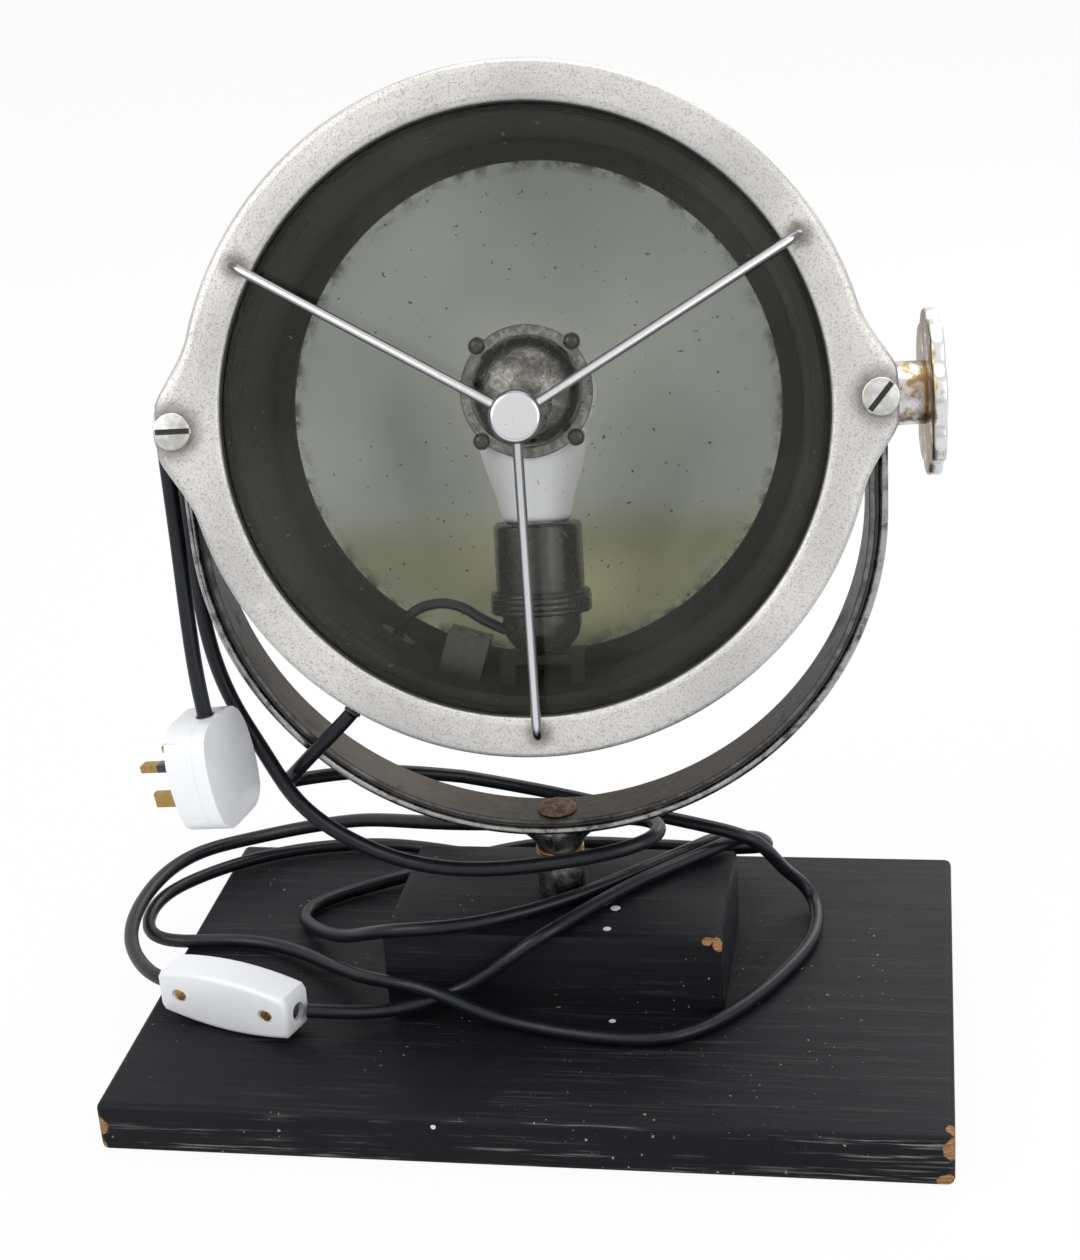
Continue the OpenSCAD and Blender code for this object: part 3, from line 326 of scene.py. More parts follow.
def tube(line, radius, detail=4):
    """A round tube along a line of points."""
    curve = bpy.data.curves.new("tube", "CURVE")
    curve.dimensions = "3D"
    curve.bevel_depth = radius
    curve.bevel_resolution = detail
    curve.use_fill_caps = True
    spline = curve.splines.new("POLY")
    spline.points.add(len(line) - 1)
    for point, spot in zip(spline.points, line):
        point.co = (*spot, 1)
    obj = bpy.data.objects.new("tube", curve)
    bpy.context.scene.collection.objects.link(obj)
    made = settled(obj)
    bpy.data.objects.remove(obj)
    bmesh.ops.remove_doubles(made, verts=made.verts, dist=1e-5)
    bmesh.ops.recalc_face_normals(made, faces=made.faces)
    return made


def lugged(bm, inner, outer, tip):
    """Pulls a ring's outer edge out into two side lugs."""
    for vert in bm.verts:
        radius = vert.co.xy.length
        turn = abs(math.degrees(math.atan2(vert.co.y, abs(vert.co.x))))
        share = min(1.0, max(0.0, (15.5 - turn) / 11))
        bulge = (share * share * (1.6 - 0.6 * share)) * (tip - outer)
        if radius > inner:
            vert.co.xy *= (radius + bulge * (radius - inner) / (outer - inner)) / radius
    return bm


def slotted(width, height, slot_width, slot_depth, crown=1.0):
    """A slotted round head, its flat side on z 0."""
    r = width / 2
    side = height - crown
    profile = [(0, 0), (r, 0), (r, side), (r - 0.5, side + crown * 0.5), (0, height)]
    slot = block((-r - 1, -slot_width / 2, height - slot_depth), (r + 1, slot_width / 2, height + 2))
    return cut(turned(profile, 0.5, 48), slot)


def piece(name, bm, at, body, finish, stands_for=(), sharp=35):
    """Makes the object, places it, parents it to the empty of the body it rides on, and hides the CAD nodes
    it stands for.
    """
    bmesh.ops.transform(bm, matrix=Matrix.Scale(MM, 4) @ at, verts=bm.verts)
    mesh = bpy.data.meshes.new(name)
    bm.to_mesh(mesh)
    bm.free()
    mesh.shade_smooth()
    mesh.set_sharp_from_angle(angle=math.radians(sharp))
    obj = bpy.data.objects.new(name, mesh)
    bpy.context.scene.collection.objects.link(obj)
    obj.data.materials.append(finished(finish))
    if isinstance(body, str):
        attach(obj, body)
    if stands_for:
        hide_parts(*stands_for)
    return obj


def redress(*nodes):
    """Gives CAD nodes that stay in view the finish of their slot."""
    slots = {row["node"]: row["material_slot"] for row in frame["record"]["subparts"]}
    for node in nodes:
        obj = frame["nodes"][node]
        obj.data.materials.clear()
        obj.data.materials.append(finished(slots[node]))


# ---- Finishes ----
class Value:
    """A shader socket on which arithmetic adds Math nodes."""

    def __init__(self, shader, socket):
        self.shader, self.socket = shader, socket

    def math(self, operation, *values):
        return self.shader.node("ShaderNodeMath", {"operation": operation}, dict(enumerate(values)))

    def __add__(self, other):
        return self.math("ADD", self, other)

    def __sub__(self, other):
        return self.math("SUBTRACT", self, other)

    def __rsub__(self, other):
        return self.math("SUBTRACT", other, self)

    def __mul__(self, other):
        return self.math("MULTIPLY", self, other)

    __radd__ = __add__
    __rmul__ = __mul__

    def least(self, other):
        return self.math("MINIMUM", self, other)

    def most(self, other):
        return self.math("MAXIMUM", self, other)

    def rise(self, low, high):
        """0 below low, 1 above high and smooth between them, or the other way round."""
        values = {"Value": self, "From Min": low, "From Max": high}
        return self.shader.node("ShaderNodeMapRange", {"interpolation_type": "SMOOTHSTEP"}, values)


class Shader:
    """The node tree of a material, or of another owner of one."""

    def __init__(self, name, owner=None):
        self.material = owner or bpy.data.materials.new(name)
        self.material.use_nodes = True
        self.tree = self.material.node_tree
        self.tree.nodes.clear()

    @cached_property
    def spot(self):
        return self.node("ShaderNodeTexCoord", out="Object")

    def node(self, kind, settings=None, values=None, out=0):
        node = self.tree.nodes.new(kind)
        for key, setting in (settings or {}).items():
            setattr(node, key, setting)
        for key, value in (values or {}).items():
            if isinstance(value, Value):
                self.tree.links.new(value.socket, node.inputs[key])
            else:
                node.inputs[key].default_value = value
        return Value(self, node.outputs[out])

    def at(self, matrix_place, scale=(1, 1, 1)):
        """The spot in the frame of a place, in metres, with each axis scaled."""
        inverse = matrix_place.inverted()
        moved = self.node(
            "ShaderNodeMapping", {"vector_type": "POINT"},
            {0: self.spot, 1: inverse.translation * MM, 2: inverse.to_euler()},
        )
        if scale == (1, 1, 1):
            return moved
        return self.node("ShaderNodeVectorMath", {"operation": "MULTIPLY"}, {0: moved, 1: scale})

    def noise(self, scale, detail=2.0, spot=None, rough=0.5):
        values = {"Vector": spot or self.spot, "Scale": scale, "Detail": detail, "Roughness": rough}
        return self.node("ShaderNodeTexNoise", values=values)

    def axis(self, spot, name):
        return self.node("ShaderNodeSeparateXYZ", values={0: spot}, out=name)

    def near(self, point, inner, outer):
        """1 within inner millimetres of a world point, 0 beyond outer."""
        values = {0: self.spot, 1: Vector(point) * MM}
        away = self.node("ShaderNodeVectorMath", {"operation": "DISTANCE"}, values, out="Value")
        return away.rise(outer * MM, inner * MM)

    def mix(self, factor, a, b):
        """A colour from a at 0 to b at 1."""
        values = {0: factor, 6: self.colour(a), 7: self.colour(b)}
        return self.node("ShaderNodeMix", {"data_type": "RGBA"}, values, out=2)

    @staticmethod
    def colour(value):
        return value if isinstance(value, Value) else (*value, 1.0)

    def surface(self, colour, roughness, metallic=0.0, height=None, depth=0.0002, **fixed):
        """Ends the tree in a Principled shader with an optional bump."""
        values = {"Base Color": self.colour(colour), "Roughness": roughness, "Metallic": metallic}
        values.update({key.replace("_", " "): value for key, value in fixed.items()})
        if height is not None:
            values["Normal"] = self.node("ShaderNodeBump", values={"Distance": depth, "Height": height})
        shader = self.node("ShaderNodeBsdfPrincipled", values=values)
        return self.ended(shader)

    def ended(self, shader, kind="ShaderNodeOutputMaterial"):
        output = self.tree.nodes.new(kind)
        self.tree.links.new(shader.socket, output.inputs["Surface"])
        return self.material


def painted_wood(colours):
    s = Shader("worn_black_paint")
    grain = s.noise(1.0, 4, s.at(WORLD, (5, 170, 170)), 0.6)
    fine = s.noise(1.0, 3, s.at(WORLD, (30, 900, 900)), 0.6)
    cloud = s.noise(16, 3)
    colour = s.mix(grain.rise(0.35, 0.75), colours.paint, (0.009, 0.009, 0.011))
    # Grey streaks along the grain: real dust, faint all over, and on the front face a stronger painted sheen
    # that lightens the lit face
    dust_and_front_sheen = grain.rise(0.46, 0.62) * fine.rise(0.48, 0.64) * cloud.rise(0.36, 0.56)
    front = s.axis(s.spot, "Y").rise(-0.1265, -0.1275)
    colour = s.mix(dust_and_front_sheen * (front * 0.8 + 0.1), colour, (0.24, 0.23, 0.22))
    speck = s.noise(420, 1).rise(0.735, 0.76) * s.noise(21, 2).rise(0.48, 0.66)
    colour = s.mix(speck * 0.8, colour, (0.42, 0.4, 0.37))
    chips = None
    spots = [
        ((-200, -128, 14), 3, 8), ((-200, -126, 3), 2, 6), ((200, -128, 20), 3, 9), ((200, -120, 26), 2, 7),
        ((196, -128, 3), 2, 7), ((90, -34, 66), 2, 8), ((83, -34, 68), 1, 6),
    ]
    for spot, inner, outer in spots:
        chip = s.near(spot, inner, outer)
        chips = chip if chips is None else chips.most(chip)
    chips = (chips * 0.9 + s.noise(330, 3) * 0.75).rise(0.86, 0.96)
    colour = s.mix(chips, colour, s.mix(fine.rise(0.4, 0.6), (0.4, 0.22, 0.1), (0.22, 0.11, 0.05)))
    drips = [((35, -6, 68), 1.6, 3.4), ((33.5, -26, 68), 1.2, 2.8), ((36, -42.6, 26), 0.8, 2.6)]
    drips.append(((-36.4, -128, 21.4), 0.5, 2.0))
    for spot, inner, outer in drips:
        drip = (s.near(spot, inner, outer) * 0.9 + fine * 0.5).rise(0.62, 0.8)
        colour = s.mix(drip, colour, (0.68, 0.68, 0.67))
    roughness = fine * 0.25 + cloud * 0.16 + 0.32 + chips * 0.3
    height = grain * 0.6 + fine * 0.25 - chips * 0.8
    return s.surface(colour, roughness, height=height, depth=0.0006, Specular_IOR_Level=0.14)


def yoke_steel(colours):
    s = Shader("worn_grey_steel")
    spot = s.at(YOKE)
    across, up = (s.axis(spot, name) for name in "XZ")
    drop = (up - BEND_Z * MM).least(0.0)
    radius = (across * across + drop * drop).math("SQRT", across * across + drop * drop)
    mottle = s.noise(130, 4, rough=0.65)
    fine = s.noise(1500, 2)
    colour = s.mix(mottle.rise(0.35, 0.7), colours.steel, (0.2, 0.193, 0.185))
    # Painted shade: the inner face of the band, which faces the head, is darkened and made rougher
    inner_face_shade = radius.rise((ARM_IN + 0.8) * MM, (ARM_IN + 0.2) * MM) * up.rise(0.1, 0.115)
    colour = s.mix(inner_face_shade * 0.85, colour, s.mix(mottle, (0.02, 0.016, 0.012), (0.07, 0.056, 0.042)))
    # Painted shade: the grooves along the band's edges are darkened and made less metallic
    groove = radius.rise(0.1568, 0.1575) * radius.rise(0.1592, 0.1584)
    colour = s.mix(groove * 0.9, colour, (0.03, 0.028, 0.026))
    bead = radius.rise(0.1592, 0.1602)
    colour = s.mix(bead * mottle.rise(0.3, 0.55) * 0.6, colour, (0.5, 0.49, 0.48))
    grime = s.noise(45, 4, rough=0.7).rise(0.55, 0.72)
    colour = s.mix(grime * 0.65, colour, (0.09, 0.08, 0.07))
    roughness = mottle * 0.3 + 0.2 + grime * 0.2 + inner_face_shade * 0.12 - bead * 0.08
    metallic = 1.0 - groove * 0.5 - grime * 0.3
    return s.surface(colour, roughness, metallic, mottle * 0.7 + fine * 0.12 + grime * -0.3, 0.00045)


def bare_steel(colours):
    s = Shader("turned_steel")
    mottle = s.noise(260, 4, rough=0.6)
    stain = s.noise(70, 3).rise(0.5, 0.72)
    colour = s.mix(mottle.rise(0.3, 0.7), (0.5, 0.49, 0.47), (0.68, 0.67, 0.65))
    colour = s.mix(stain * 0.5, colour, (0.3, 0.24, 0.17))
    return s.surface(colour, mottle * 0.25 + 0.2 + stain * 0.2, 1.0, mottle, 0.00012)


def rivet(colours):
    s = Shader("rusty_rivet")
    mottle = s.noise(300, 4, rough=0.7)
    colour = s.mix(mottle.rise(0.35, 0.65), (0.08, 0.045, 0.025), (0.22, 0.14, 0.09))
    return s.surface(colour, 0.75, 0.4, mottle, 0.0005)


def black_sheet(colours):
    s = Shader("black_sheet_paint")
    mottle = s.noise(180, 4, rough=0.6)
    wear = s.noise(50, 3).rise(0.6, 0.75)
    colour = s.mix(mottle.rise(0.4, 0.7), (0.01, 0.009, 0.0065), (0.022, 0.019, 0.014))
    colour = s.mix(wear * 0.4, colour, (0.045, 0.036, 0.024))
    return s.surface(colour, mottle * 0.3 + 0.4, 0.0, mottle, 0.0003, Specular_IOR_Level=0.2)


def cast_alloy(colours):
    s = Shader("cast_alloy")
    spot = s.at(HEAD)
    grit = s.noise(1100, 3, rough=0.7)
    mottle = s.noise(240, 4, rough=0.65)
    cloud = s.noise(17, 3)
    colour = s.mix(cloud.rise(0.3, 0.7), colours.alloy, (0.62, 0.6, 0.575))
    colour = s.mix(grit.rise(0.5, 0.66) * 0.6, colour, (0.2, 0.19, 0.18))
    colour = s.mix(mottle.rise(0.56, 0.72) * 0.5, colour, (0.34, 0.33, 0.31))
    dirt_and_slot_shade = None
    spots = [(ROD_CIRCLE_R, turn, 3, 9) for turn in ROD_TURNS]
    spots += [(LUG_SCREW_R, turn, 8, 17) for turn in (0, 180)]
    for radius, turn, inner, outer in spots:
        a = math.radians(turn)
        local = Vector((radius * math.cos(a), radius * math.sin(a), RING_FRONT))
        ring = s.near(HEAD @ local, inner, outer)
        dirt_and_slot_shade = ring if dirt_and_slot_shade is None else dirt_and_slot_shade.most(ring)
    dirt_and_slot_shade = dirt_and_slot_shade * (mottle * 0.8 + 0.35) * 0.8
    colour = s.mix(dirt_and_slot_shade, colour, (0.1, 0.085, 0.07))
    scratch = s.noise(1.0, 2, s.at(HEAD @ place(0, 0, 0, (38, "Z")), (40, 1500, 40))).rise(0.7, 0.76)
    # Painted shade: everything below the bezel's front face, its side wall and the wall of its opening, is a
    # little darker
    rim = s.axis(spot, "Z").rise(0.0412, 0.0395)
    colour = s.mix(rim * 0.25, colour, (0.45, 0.44, 0.42))
    roughness = grit * 0.2 + cloud * 0.12 + 0.3 + dirt_and_slot_shade * 0.2 - scratch * 0.08
    height = grit * 0.5 + mottle * 0.6 - dirt_and_slot_shade * 0.3 - scratch * 0.3
    return s.surface(colour, roughness, 1.0 - dirt_and_slot_shade * 0.5, height, 0.00028)


def chrome(colours):
    s = Shader("chrome_plate")
    mottle = s.noise(400, 3)
    pits = s.noise(900, 1).rise(0.72, 0.76)
    # Painted reflection: the chrome is darkened by how its faces turn against the head's front axis,
    # standing in for a dark floor reflected in the rods and the boss
    facing = s.node("ShaderNodeTexCoord", out="Normal")
    outward = {0: facing, 1: HEAD.col[2].xyz}
    lean = s.node("ShaderNodeVectorMath", {"operation": "DOT_PRODUCT"}, outward, "Value")
    shade = lean.rise(0.93, 0.8) * lean.rise(-0.2, 0.3) + lean.rise(0.2, -0.3) * 0.5
    colour = s.mix(shade * 0.85, (0.66, 0.66, 0.67), (0.07, 0.068, 0.065))
    colour = s.mix(pits * 0.7, colour, (0.2, 0.17, 0.14))
    return s.surface(colour, mottle * 0.18 + 0.12 + pits * 0.3, 1.0, mottle * 0.5 - pits, 0.00006)


def worn_chrome(colours):
    s = Shader("chrome_worn_to_brass")
    spot = s.at(YOKE)
    mottle = s.noise(120, 4, rough=0.6)
    back = s.axis(spot, "X").rise(0.1835, 0.1808)
    hub = s.axis(spot, "X").rise(0.1800, 0.1795)
    worn = (mottle.rise(0.5, 0.62) * 0.5 + back * mottle.rise(0.2, 0.5) * 0.9 - hub * 0.5).rise(0.1, 0.9)
    brass = s.mix(mottle, (0.2, 0.12, 0.05), (0.48, 0.34, 0.17))
    colour = s.mix(worn, s.mix(mottle, (0.62, 0.61, 0.6), (0.8, 0.8, 0.79)), brass)
    colour = s.mix(s.noise(60, 4).rise(0.6, 0.75) * 0.6, colour, (0.08, 0.065, 0.05))
    return s.surface(colour, mottle * 0.3 + 0.1 + worn * 0.12, 1.0, mottle, 0.0004)


def glass(colours):
    s = Shader("front_glass")
    edge = s.node("ShaderNodeFresnel", values={"IOR": 1.5})
    smear = s.noise(14, 3).rise(0.4, 0.7)
    speck = s.noise(240, 1).rise(0.77, 0.79)
    alpha = edge * 0.5 + smear * 0.012 + speck * 0.5
    colour = s.mix(speck, colours.glass, (0.12, 0.11, 0.1))
    return s.surface(colour, smear * 0.05 + 0.02 + speck * 0.3, 1.0, Alpha=alpha)


def mirror(colours):
    s = Shader("silvered_mirror")
    spot = s.at(HEAD)
    across, up = s.axis(spot, "X"), s.axis(spot, "Y")
    cloud = s.noise(11, 3)
    fine = s.noise(90, 4, rough=0.65)
    colour = s.mix(cloud.rise(0.3, 0.7), colours.mirror, (0.9, 0.92, 0.86))
    # Painted reflection: the lower part of the mirror is tinted yellow for the bulb and the lampholder seen
    # in it
    low = up.rise(-0.04, -0.07)
    colour = s.mix(low * 0.75, colour, s.mix(cloud.rise(0.35, 0.6), (0.5, 0.5, 0.26), (0.72, 0.72, 0.42)))
    # Painted highlight: a bright yellow spot for the bulb's glint in the mirror
    painted_bulb_glint = s.near(HEAD @ Vector((26, -96, -75)), 4, 34) * 0.9
    colour = s.mix(painted_bulb_glint, colour, (0.98, 0.95, 0.6))
    speck = s.noise(330, 1).rise(0.74, 0.77)
    colour = s.mix(speck * 0.8, colour, (0.05, 0.05, 0.05))
    radius = across.math("SQRT", across * across + up * up)
    rim = radius.rise(0.112, 0.121) * fine.rise(0.42, 0.62)
    colour = s.mix(rim, colour, (0.06, 0.055, 0.05))
    return s.surface(colour, cloud * 0.1 + 0.16 + rim * 0.3, 0.6)


def black_rubber(colours):
    s = Shader("black_rubber")
    grit = s.noise(900, 3)
    colour = s.mix(grit, (0.012, 0.012, 0.013), (0.03, 0.03, 0.03))
    return s.surface(colour, grit * 0.2 + 0.5, 0.0, grit, 0.0001)


def black_plastic(colours):
    s = Shader("black_bakelite")
    mottle = s.noise(150, 3)
    colour = s.mix(mottle, (0.012, 0.011, 0.009), (0.035, 0.03, 0.025))
    return s.surface(colour, mottle * 0.2 + 0.16, 0.0, mottle, 0.0001)


def grey_metal(colours):
    s = Shader("pressed_alloy")
    mottle = s.noise(320, 4, rough=0.7)
    spot = s.at(HEAD)
    flange = s.axis(spot, "Z").rise(0.0076, 0.0070)
    colour = s.mix(mottle.rise(0.4, 0.66), (0.12, 0.115, 0.105), (0.26, 0.25, 0.23))
    light = s.mix(mottle.rise(0.45, 0.6), (0.6, 0.59, 0.55), (0.3, 0.29, 0.26))
    colour = s.mix(flange, colour, light)
    pits = s.noise(700, 2).rise(0.66, 0.72)
    colour = s.mix(pits * 0.8, colour, (0.07, 0.06, 0.05))
    return s.surface(colour, mottle * 0.2 + 0.14 + pits * 0.3, 1.0, mottle - pits, 0.0002)


def opal(colours):
    s = Shader("opal_white")
    shade = s.noise(25, 2)
    colour = s.mix(shade, colours.opal, (0.86, 0.85, 0.82))
    return s.surface(colour, shade * 0.1 + 0.25)


def white_plastic(colours):
    s = Shader("white_plastic")
    shade = s.noise(35, 3)
    scuff = s.noise(1.0, 3, s.at(SWITCH, (60, 500, 500))).rise(0.62, 0.72) * s.noise(60, 2).rise(0.5, 0.7)
    colour = s.mix(shade, colours.plastic, (0.9, 0.895, 0.89))
    colour = s.mix(scuff * 0.35, colour, (0.45, 0.44, 0.43))
    return s.surface(colour, shade * 0.12 + 0.18 + scuff * 0.2, 0.0, s.noise(500, 2), 0.00003)


def brass(colours):
    s = Shader("dull_brass")
    mottle = s.noise(300, 4)
    colour = s.mix(mottle, (0.26, 0.15, 0.045), (0.5, 0.33, 0.12))
    return s.surface(colour, mottle * 0.25 + 0.28, 1.0, mottle, 0.0001)


def black_flex(colours):
    s = Shader("black_flex")
    grit = s.noise(260, 3)
    cloud = s.noise(30, 2)
    colour = s.mix(grit * cloud, colours.flex, (0.018, 0.02, 0.027))
    return s.surface(colour, grit * 0.16 + 0.26, 0.0, grit, 0.00012, Specular_IOR_Level=0.3)


RECIPES = {
    recipe.__name__: recipe for recipe in (
        painted_wood, yoke_steel, bare_steel, rivet, black_sheet, cast_alloy, chrome, worn_chrome, glass,
        mirror, black_rubber, black_plastic, grey_metal, opal, white_plastic, brass, black_flex,
    )
}
made_finishes = {}


def finished(slot):
    """The material of a slot, made the first time it is asked for."""
    if slot not in made_finishes:
        made_finishes[slot] = RECIPES[slot](bpy.context.scene.lamp_colours)
    return made_finishes[slot]


# ---- Settings ----
def tint(name, description, colour):
    return FloatVectorProperty(
        name=name, description=description, subtype="COLOR", size=3, min=0, max=1, default=colour
    )


def width(name, description, size):
    return FloatProperty(
        name=name, description=description, default=size, min=size / 2, max=size * 1.5, unit="LENGTH"
    )


class LampColours(bpy.types.PropertyGroup):
    """Colours of the finishes"""
    paint: tint("Paint", "Black paint of the board and the riser", (0.007, 0.007, 0.009))
    steel: tint("Yoke steel", "Darker tone of the yoke", (0.085, 0.08, 0.077))
    alloy: tint("Cast alloy", "Darker tone of the bezel", (0.5, 0.49, 0.475))
    glass: tint("Glass", "Tone of the reflections in the front glass", (0.56, 0.57, 0.52))
    mirror: tint("Mirror", "Tone of the mirror", (0.74, 0.77, 0.72))
    opal: tint("Bulb", "White of the bulb", (0.92, 0.91, 0.88))
    plastic: tint("White plastic", "White of the switch and the plug", (0.96, 0.955, 0.95))
    flex: tint("Flex", "Black of the leads", (0.004, 0.0045, 0.006))


class LampSizes(bpy.types.PropertyGroup):
    """Sizes of the thin pieces"""
    rod: width("Guard rod", "Diameter of the guard rods", 0.0045)
    boss: width("Guard boss", "Diameter of the guard's centre boss", 0.023)
    lead: width("Lead", "Diameter of the lead from the head to the switch", 0.007)
    flex: width("Flex", "Diameter of the flex from the switch to the plug", 0.0075)
    edge: width("Board edge", "Rounding of the board's edges", 0.0035)


# ---- Pieces ----
class BoardOperator(bpy.types.Operator):
    """Add the base board and the riser"""
    bl_idname = "lamp.board"
    bl_label = "Board and riser"

    def execute(self, context):
        edge = context.scene.lamp_sizes.edge / MM
        board = block((-200, -128, 0), (200, 128, 26), edge, 4)
        piece("board", board, WORLD, "base", "painted_wood", ["base_board"])
        riser = block((-78, -34, 26), (90, 58, 68))
        tops = [e for e in riser.edges if all(v.co.z > 67 for v in e.verts)]
        bevelled(riser, tops, 4.2, 2)
        sides = [e for e in riser.edges if abs(e.verts[0].co.z - e.verts[1].co.z) > 20]
        bevelled(riser, sides, 0.8, 2)
        piece("riser", riser, WORLD, "base", "painted_wood", ["riser_block"])
        return {"FINISHED"}


class PostOperator(bpy.types.Operator):
    """Add the pivot post, its washer and the rivet"""
    bl_idname = "lamp.post"
    bl_label = "Pivot post"

    def execute(self, context):
        at = place(6, 12)
        post = [(0, 3), (7, 3), (7, 68), (12, 68), (12, 91.8), (11.2, POST_TOP), (PIN_BORE_R, POST_TOP),
                (PIN_BORE_R, 72), (0, 72)]
        piece("post", turned(post, 0.6, 64), at, "base", "yoke_steel", ["pivot_post"])
        washer = [(PIN_BORE_R, POST_TOP), (12, POST_TOP), (12, POST_TOP + 1.9), (PIN_BORE_R, POST_TOP + 1.9)]
        piece("washer", turned(washer, 0.4, 64, True), at, "base", "brass", ["thrust_washer"])
        spigot = [(0, 73), (6, 73), (6, 113.9), (10, 113.9), (9.2, 115.2), (6, 117), (0, 117.3)]
        piece("spigot", turned(spigot, 1.0, 48), YOKE, "yoke", "rivet", ["pivot_spigot"])
        return {"FINISHED"}


class YokeOperator(bpy.types.Operator):
    """Add the rolled yoke with its forged hub and eyes"""
    bl_idname = "lamp.yoke"
    bl_label = "Yoke"

    def execute(self, context):
        section = [(0, -12), (2.4, -12), (2.9, -11.3), (2.9, -10), (4.4, -10), (4.8, -10.9)]
        section += [
            (6.75 + 2.25 * math.cos(math.radians(a)), -9.75 + 2.25 * math.sin(math.radians(a)))
            for a in range(220, 361, 20)
        ]
        section = softened(section[:4], 0.5) + section[4:]
        section += [(x, -y) for x, y in reversed(section)]
        bm = bmesh.new()
        verts = [bm.verts.new((ARM_IN + x, y, BEND_Z)) for x, y in section]
        edges = [bm.edges.new((verts[i - 1], verts[i])) for i in range(len(verts))]
        bmesh.ops.spin(
            bm, geom=verts + edges, cent=(0, 0, BEND_Z), axis=(0, 1, 0), angle=math.pi, steps=120
        )
        open_edges = [e for e in bm.edges if e.is_boundary]
        grown = bmesh.ops.extrude_edge_only(bm, edges=open_edges)["geom"]
        moved = [item for item in grown if isinstance(item, bmesh.types.BMVert)]
        bmesh.ops.translate(bm, verts=moved, vec=(0, 0, AXIS_Z - BEND_Z))
        bmesh.ops.holes_fill(bm, edges=[e for e in bm.edges if e.is_boundary])
        bmesh.ops.recalc_face_normals(bm, faces=bm.faces)
        hub = [(6, 94), (11.6, 94), (12, 96.5), (14, 99.3), (17.5, 102.2), (22.8, 105.4), (22.8, 107.5),
               (6, 107.5)]
        hub = turned(hub, 2, 64, True)
        for vert in hub.verts:
            vert.co.y *= min(1.0, 11.6 / max(11.6, vert.co.xy.length))
        eye = [(PIN_BORE_R, 0), (15.5, 0), (15.5, 9), (PIN_BORE_R, 9)]
        parts = [(bm, WORLD), (hub, WORLD)]
        parts += [(turned(eye, 0.8, 64, True), place(x, 0, AXIS_Z) @ ALONG_X) for x in (ARM_IN, -ARM_OUT)]
        piece("yoke_band", joined(*parts), YOKE, "yoke", "yoke_steel", ["yoke_arm"], 40)
        return {"FINISHED"}


class DrumOperator(bpy.types.Operator):
    """Add the drum with its flange and the domed back"""
    bl_idname = "lamp.drum"
    bl_label = "Drum"

    def execute(self, context):
        inner = DRUM_R - SHEET
        edge = BEZEL_R - 2
        wall = [(inner, DRUM_REAR), (DRUM_R, DRUM_REAR), (DRUM_R, FLANGE_BACK - 2),
                (DRUM_R + 1, FLANGE_BACK), (edge, FLANGE_BACK), (edge, BEZEL_BACK), (inner, BEZEL_BACK)]
        drum = lugged(turned(wall, 0.8, 192, True), 140, edge, 165)
        piece("drum", drum, HEAD, "head", "black_sheet", ["drum_shell"])
        outer = DRUM_R + 0.1 + SHEET
        rear = DRUM_REAR - SHEET
        shares = [1 - k / 24 for k in range(25)]
        back = [(outer, DRUM_REAR + 9), (outer, DRUM_REAR + 4), (outer + 1.4, DRUM_REAR + 3),
                (outer + 1.4, DRUM_REAR), (outer, DRUM_REAR - 1)]
        back += [(outer * u, rear - DOME_H * (1 - u * u)) for u in shares]
        back += [((outer - SHEET) * u, rear - (DOME_H - SHEET) * (1 - u * u)) for u in reversed(shares)]
        back += [(outer - SHEET, DRUM_REAR + 9)]
        piece("domed_back", spun(back, 160, True), HEAD, "head", "black_sheet", ["drum_back"])
        return {"FINISHED"}


class BezelOperator(bpy.types.Operator):
    """Add the cast bezel and its two slotted screws"""
    bl_idname = "lamp.bezel"
    bl_label = "Bezel"

    def execute(self, context):
        front = RING_FRONT
        section = [(REBATE_R, BEZEL_BACK), (REBATE_R, 38), (OPENING_R, 38), (OPENING_R, front - 1.5),
                   (OPENING_R + 0.8, front - 0.7), (OPENING_R + 3, front - 0.2), (146, front),
                   (151, front - 0.15), (153, front - 0.5), (154.4, front - 1.6), (BEZEL_R, front - 3.4),
                   (BEZEL_R, 29.2), (154, BEZEL_BACK)]
        ring = lugged(turned(section, 0.3, 256, True), 142, BEZEL_R, 166)
        piece("bezel", ring, HEAD, "head", "cast_alloy", ["front_bezel"], 30)
        heads = []
        dirt_and_slot_shade = []
        for side, turn in LUG_SCREWS:
            at = place(side * LUG_SCREW_R, 0, LUG_SCREW_Z, (turn, "Z"))
            shank = spun([(0, 26), (2, 26), (2, LUG_SCREW_Z + 0.1), (0, LUG_SCREW_Z + 0.1)], 24)
            heads += [(slotted(17, 5, 2.5, 2.5, 1.2), at), (shank, place(side * LUG_SCREW_R, 0, 0))]
            # Painted shade: a dark insert fills the bottom of each screw slot
            dirt_and_slot_shade.append((block((-7.6, -1.2, 2.6), (7.6, 1.2, 3.0)), at))
        piece("bezel_screws", joined(*heads), HEAD, "head", "bare_steel", ["lug_screws"])
        piece("slot_shade_insert", joined(*dirt_and_slot_shade), HEAD, "head", "black_rubber")
        return {"FINISHED"}


class GlassOperator(bpy.types.Operator):
    """Add the front glass"""
    bl_idname = "lamp.glass"
    bl_label = "Front glass"

    def execute(self, context):
        edge = REBATE_R - 0.1
        pane = [(0, 32.5), (edge, 32.5), (edge, 36), (0, 36)]
        piece("pane", turned(pane, 0.5, 160), HEAD, "head", "glass", ["front_glass"])
        return {"FINISHED"}


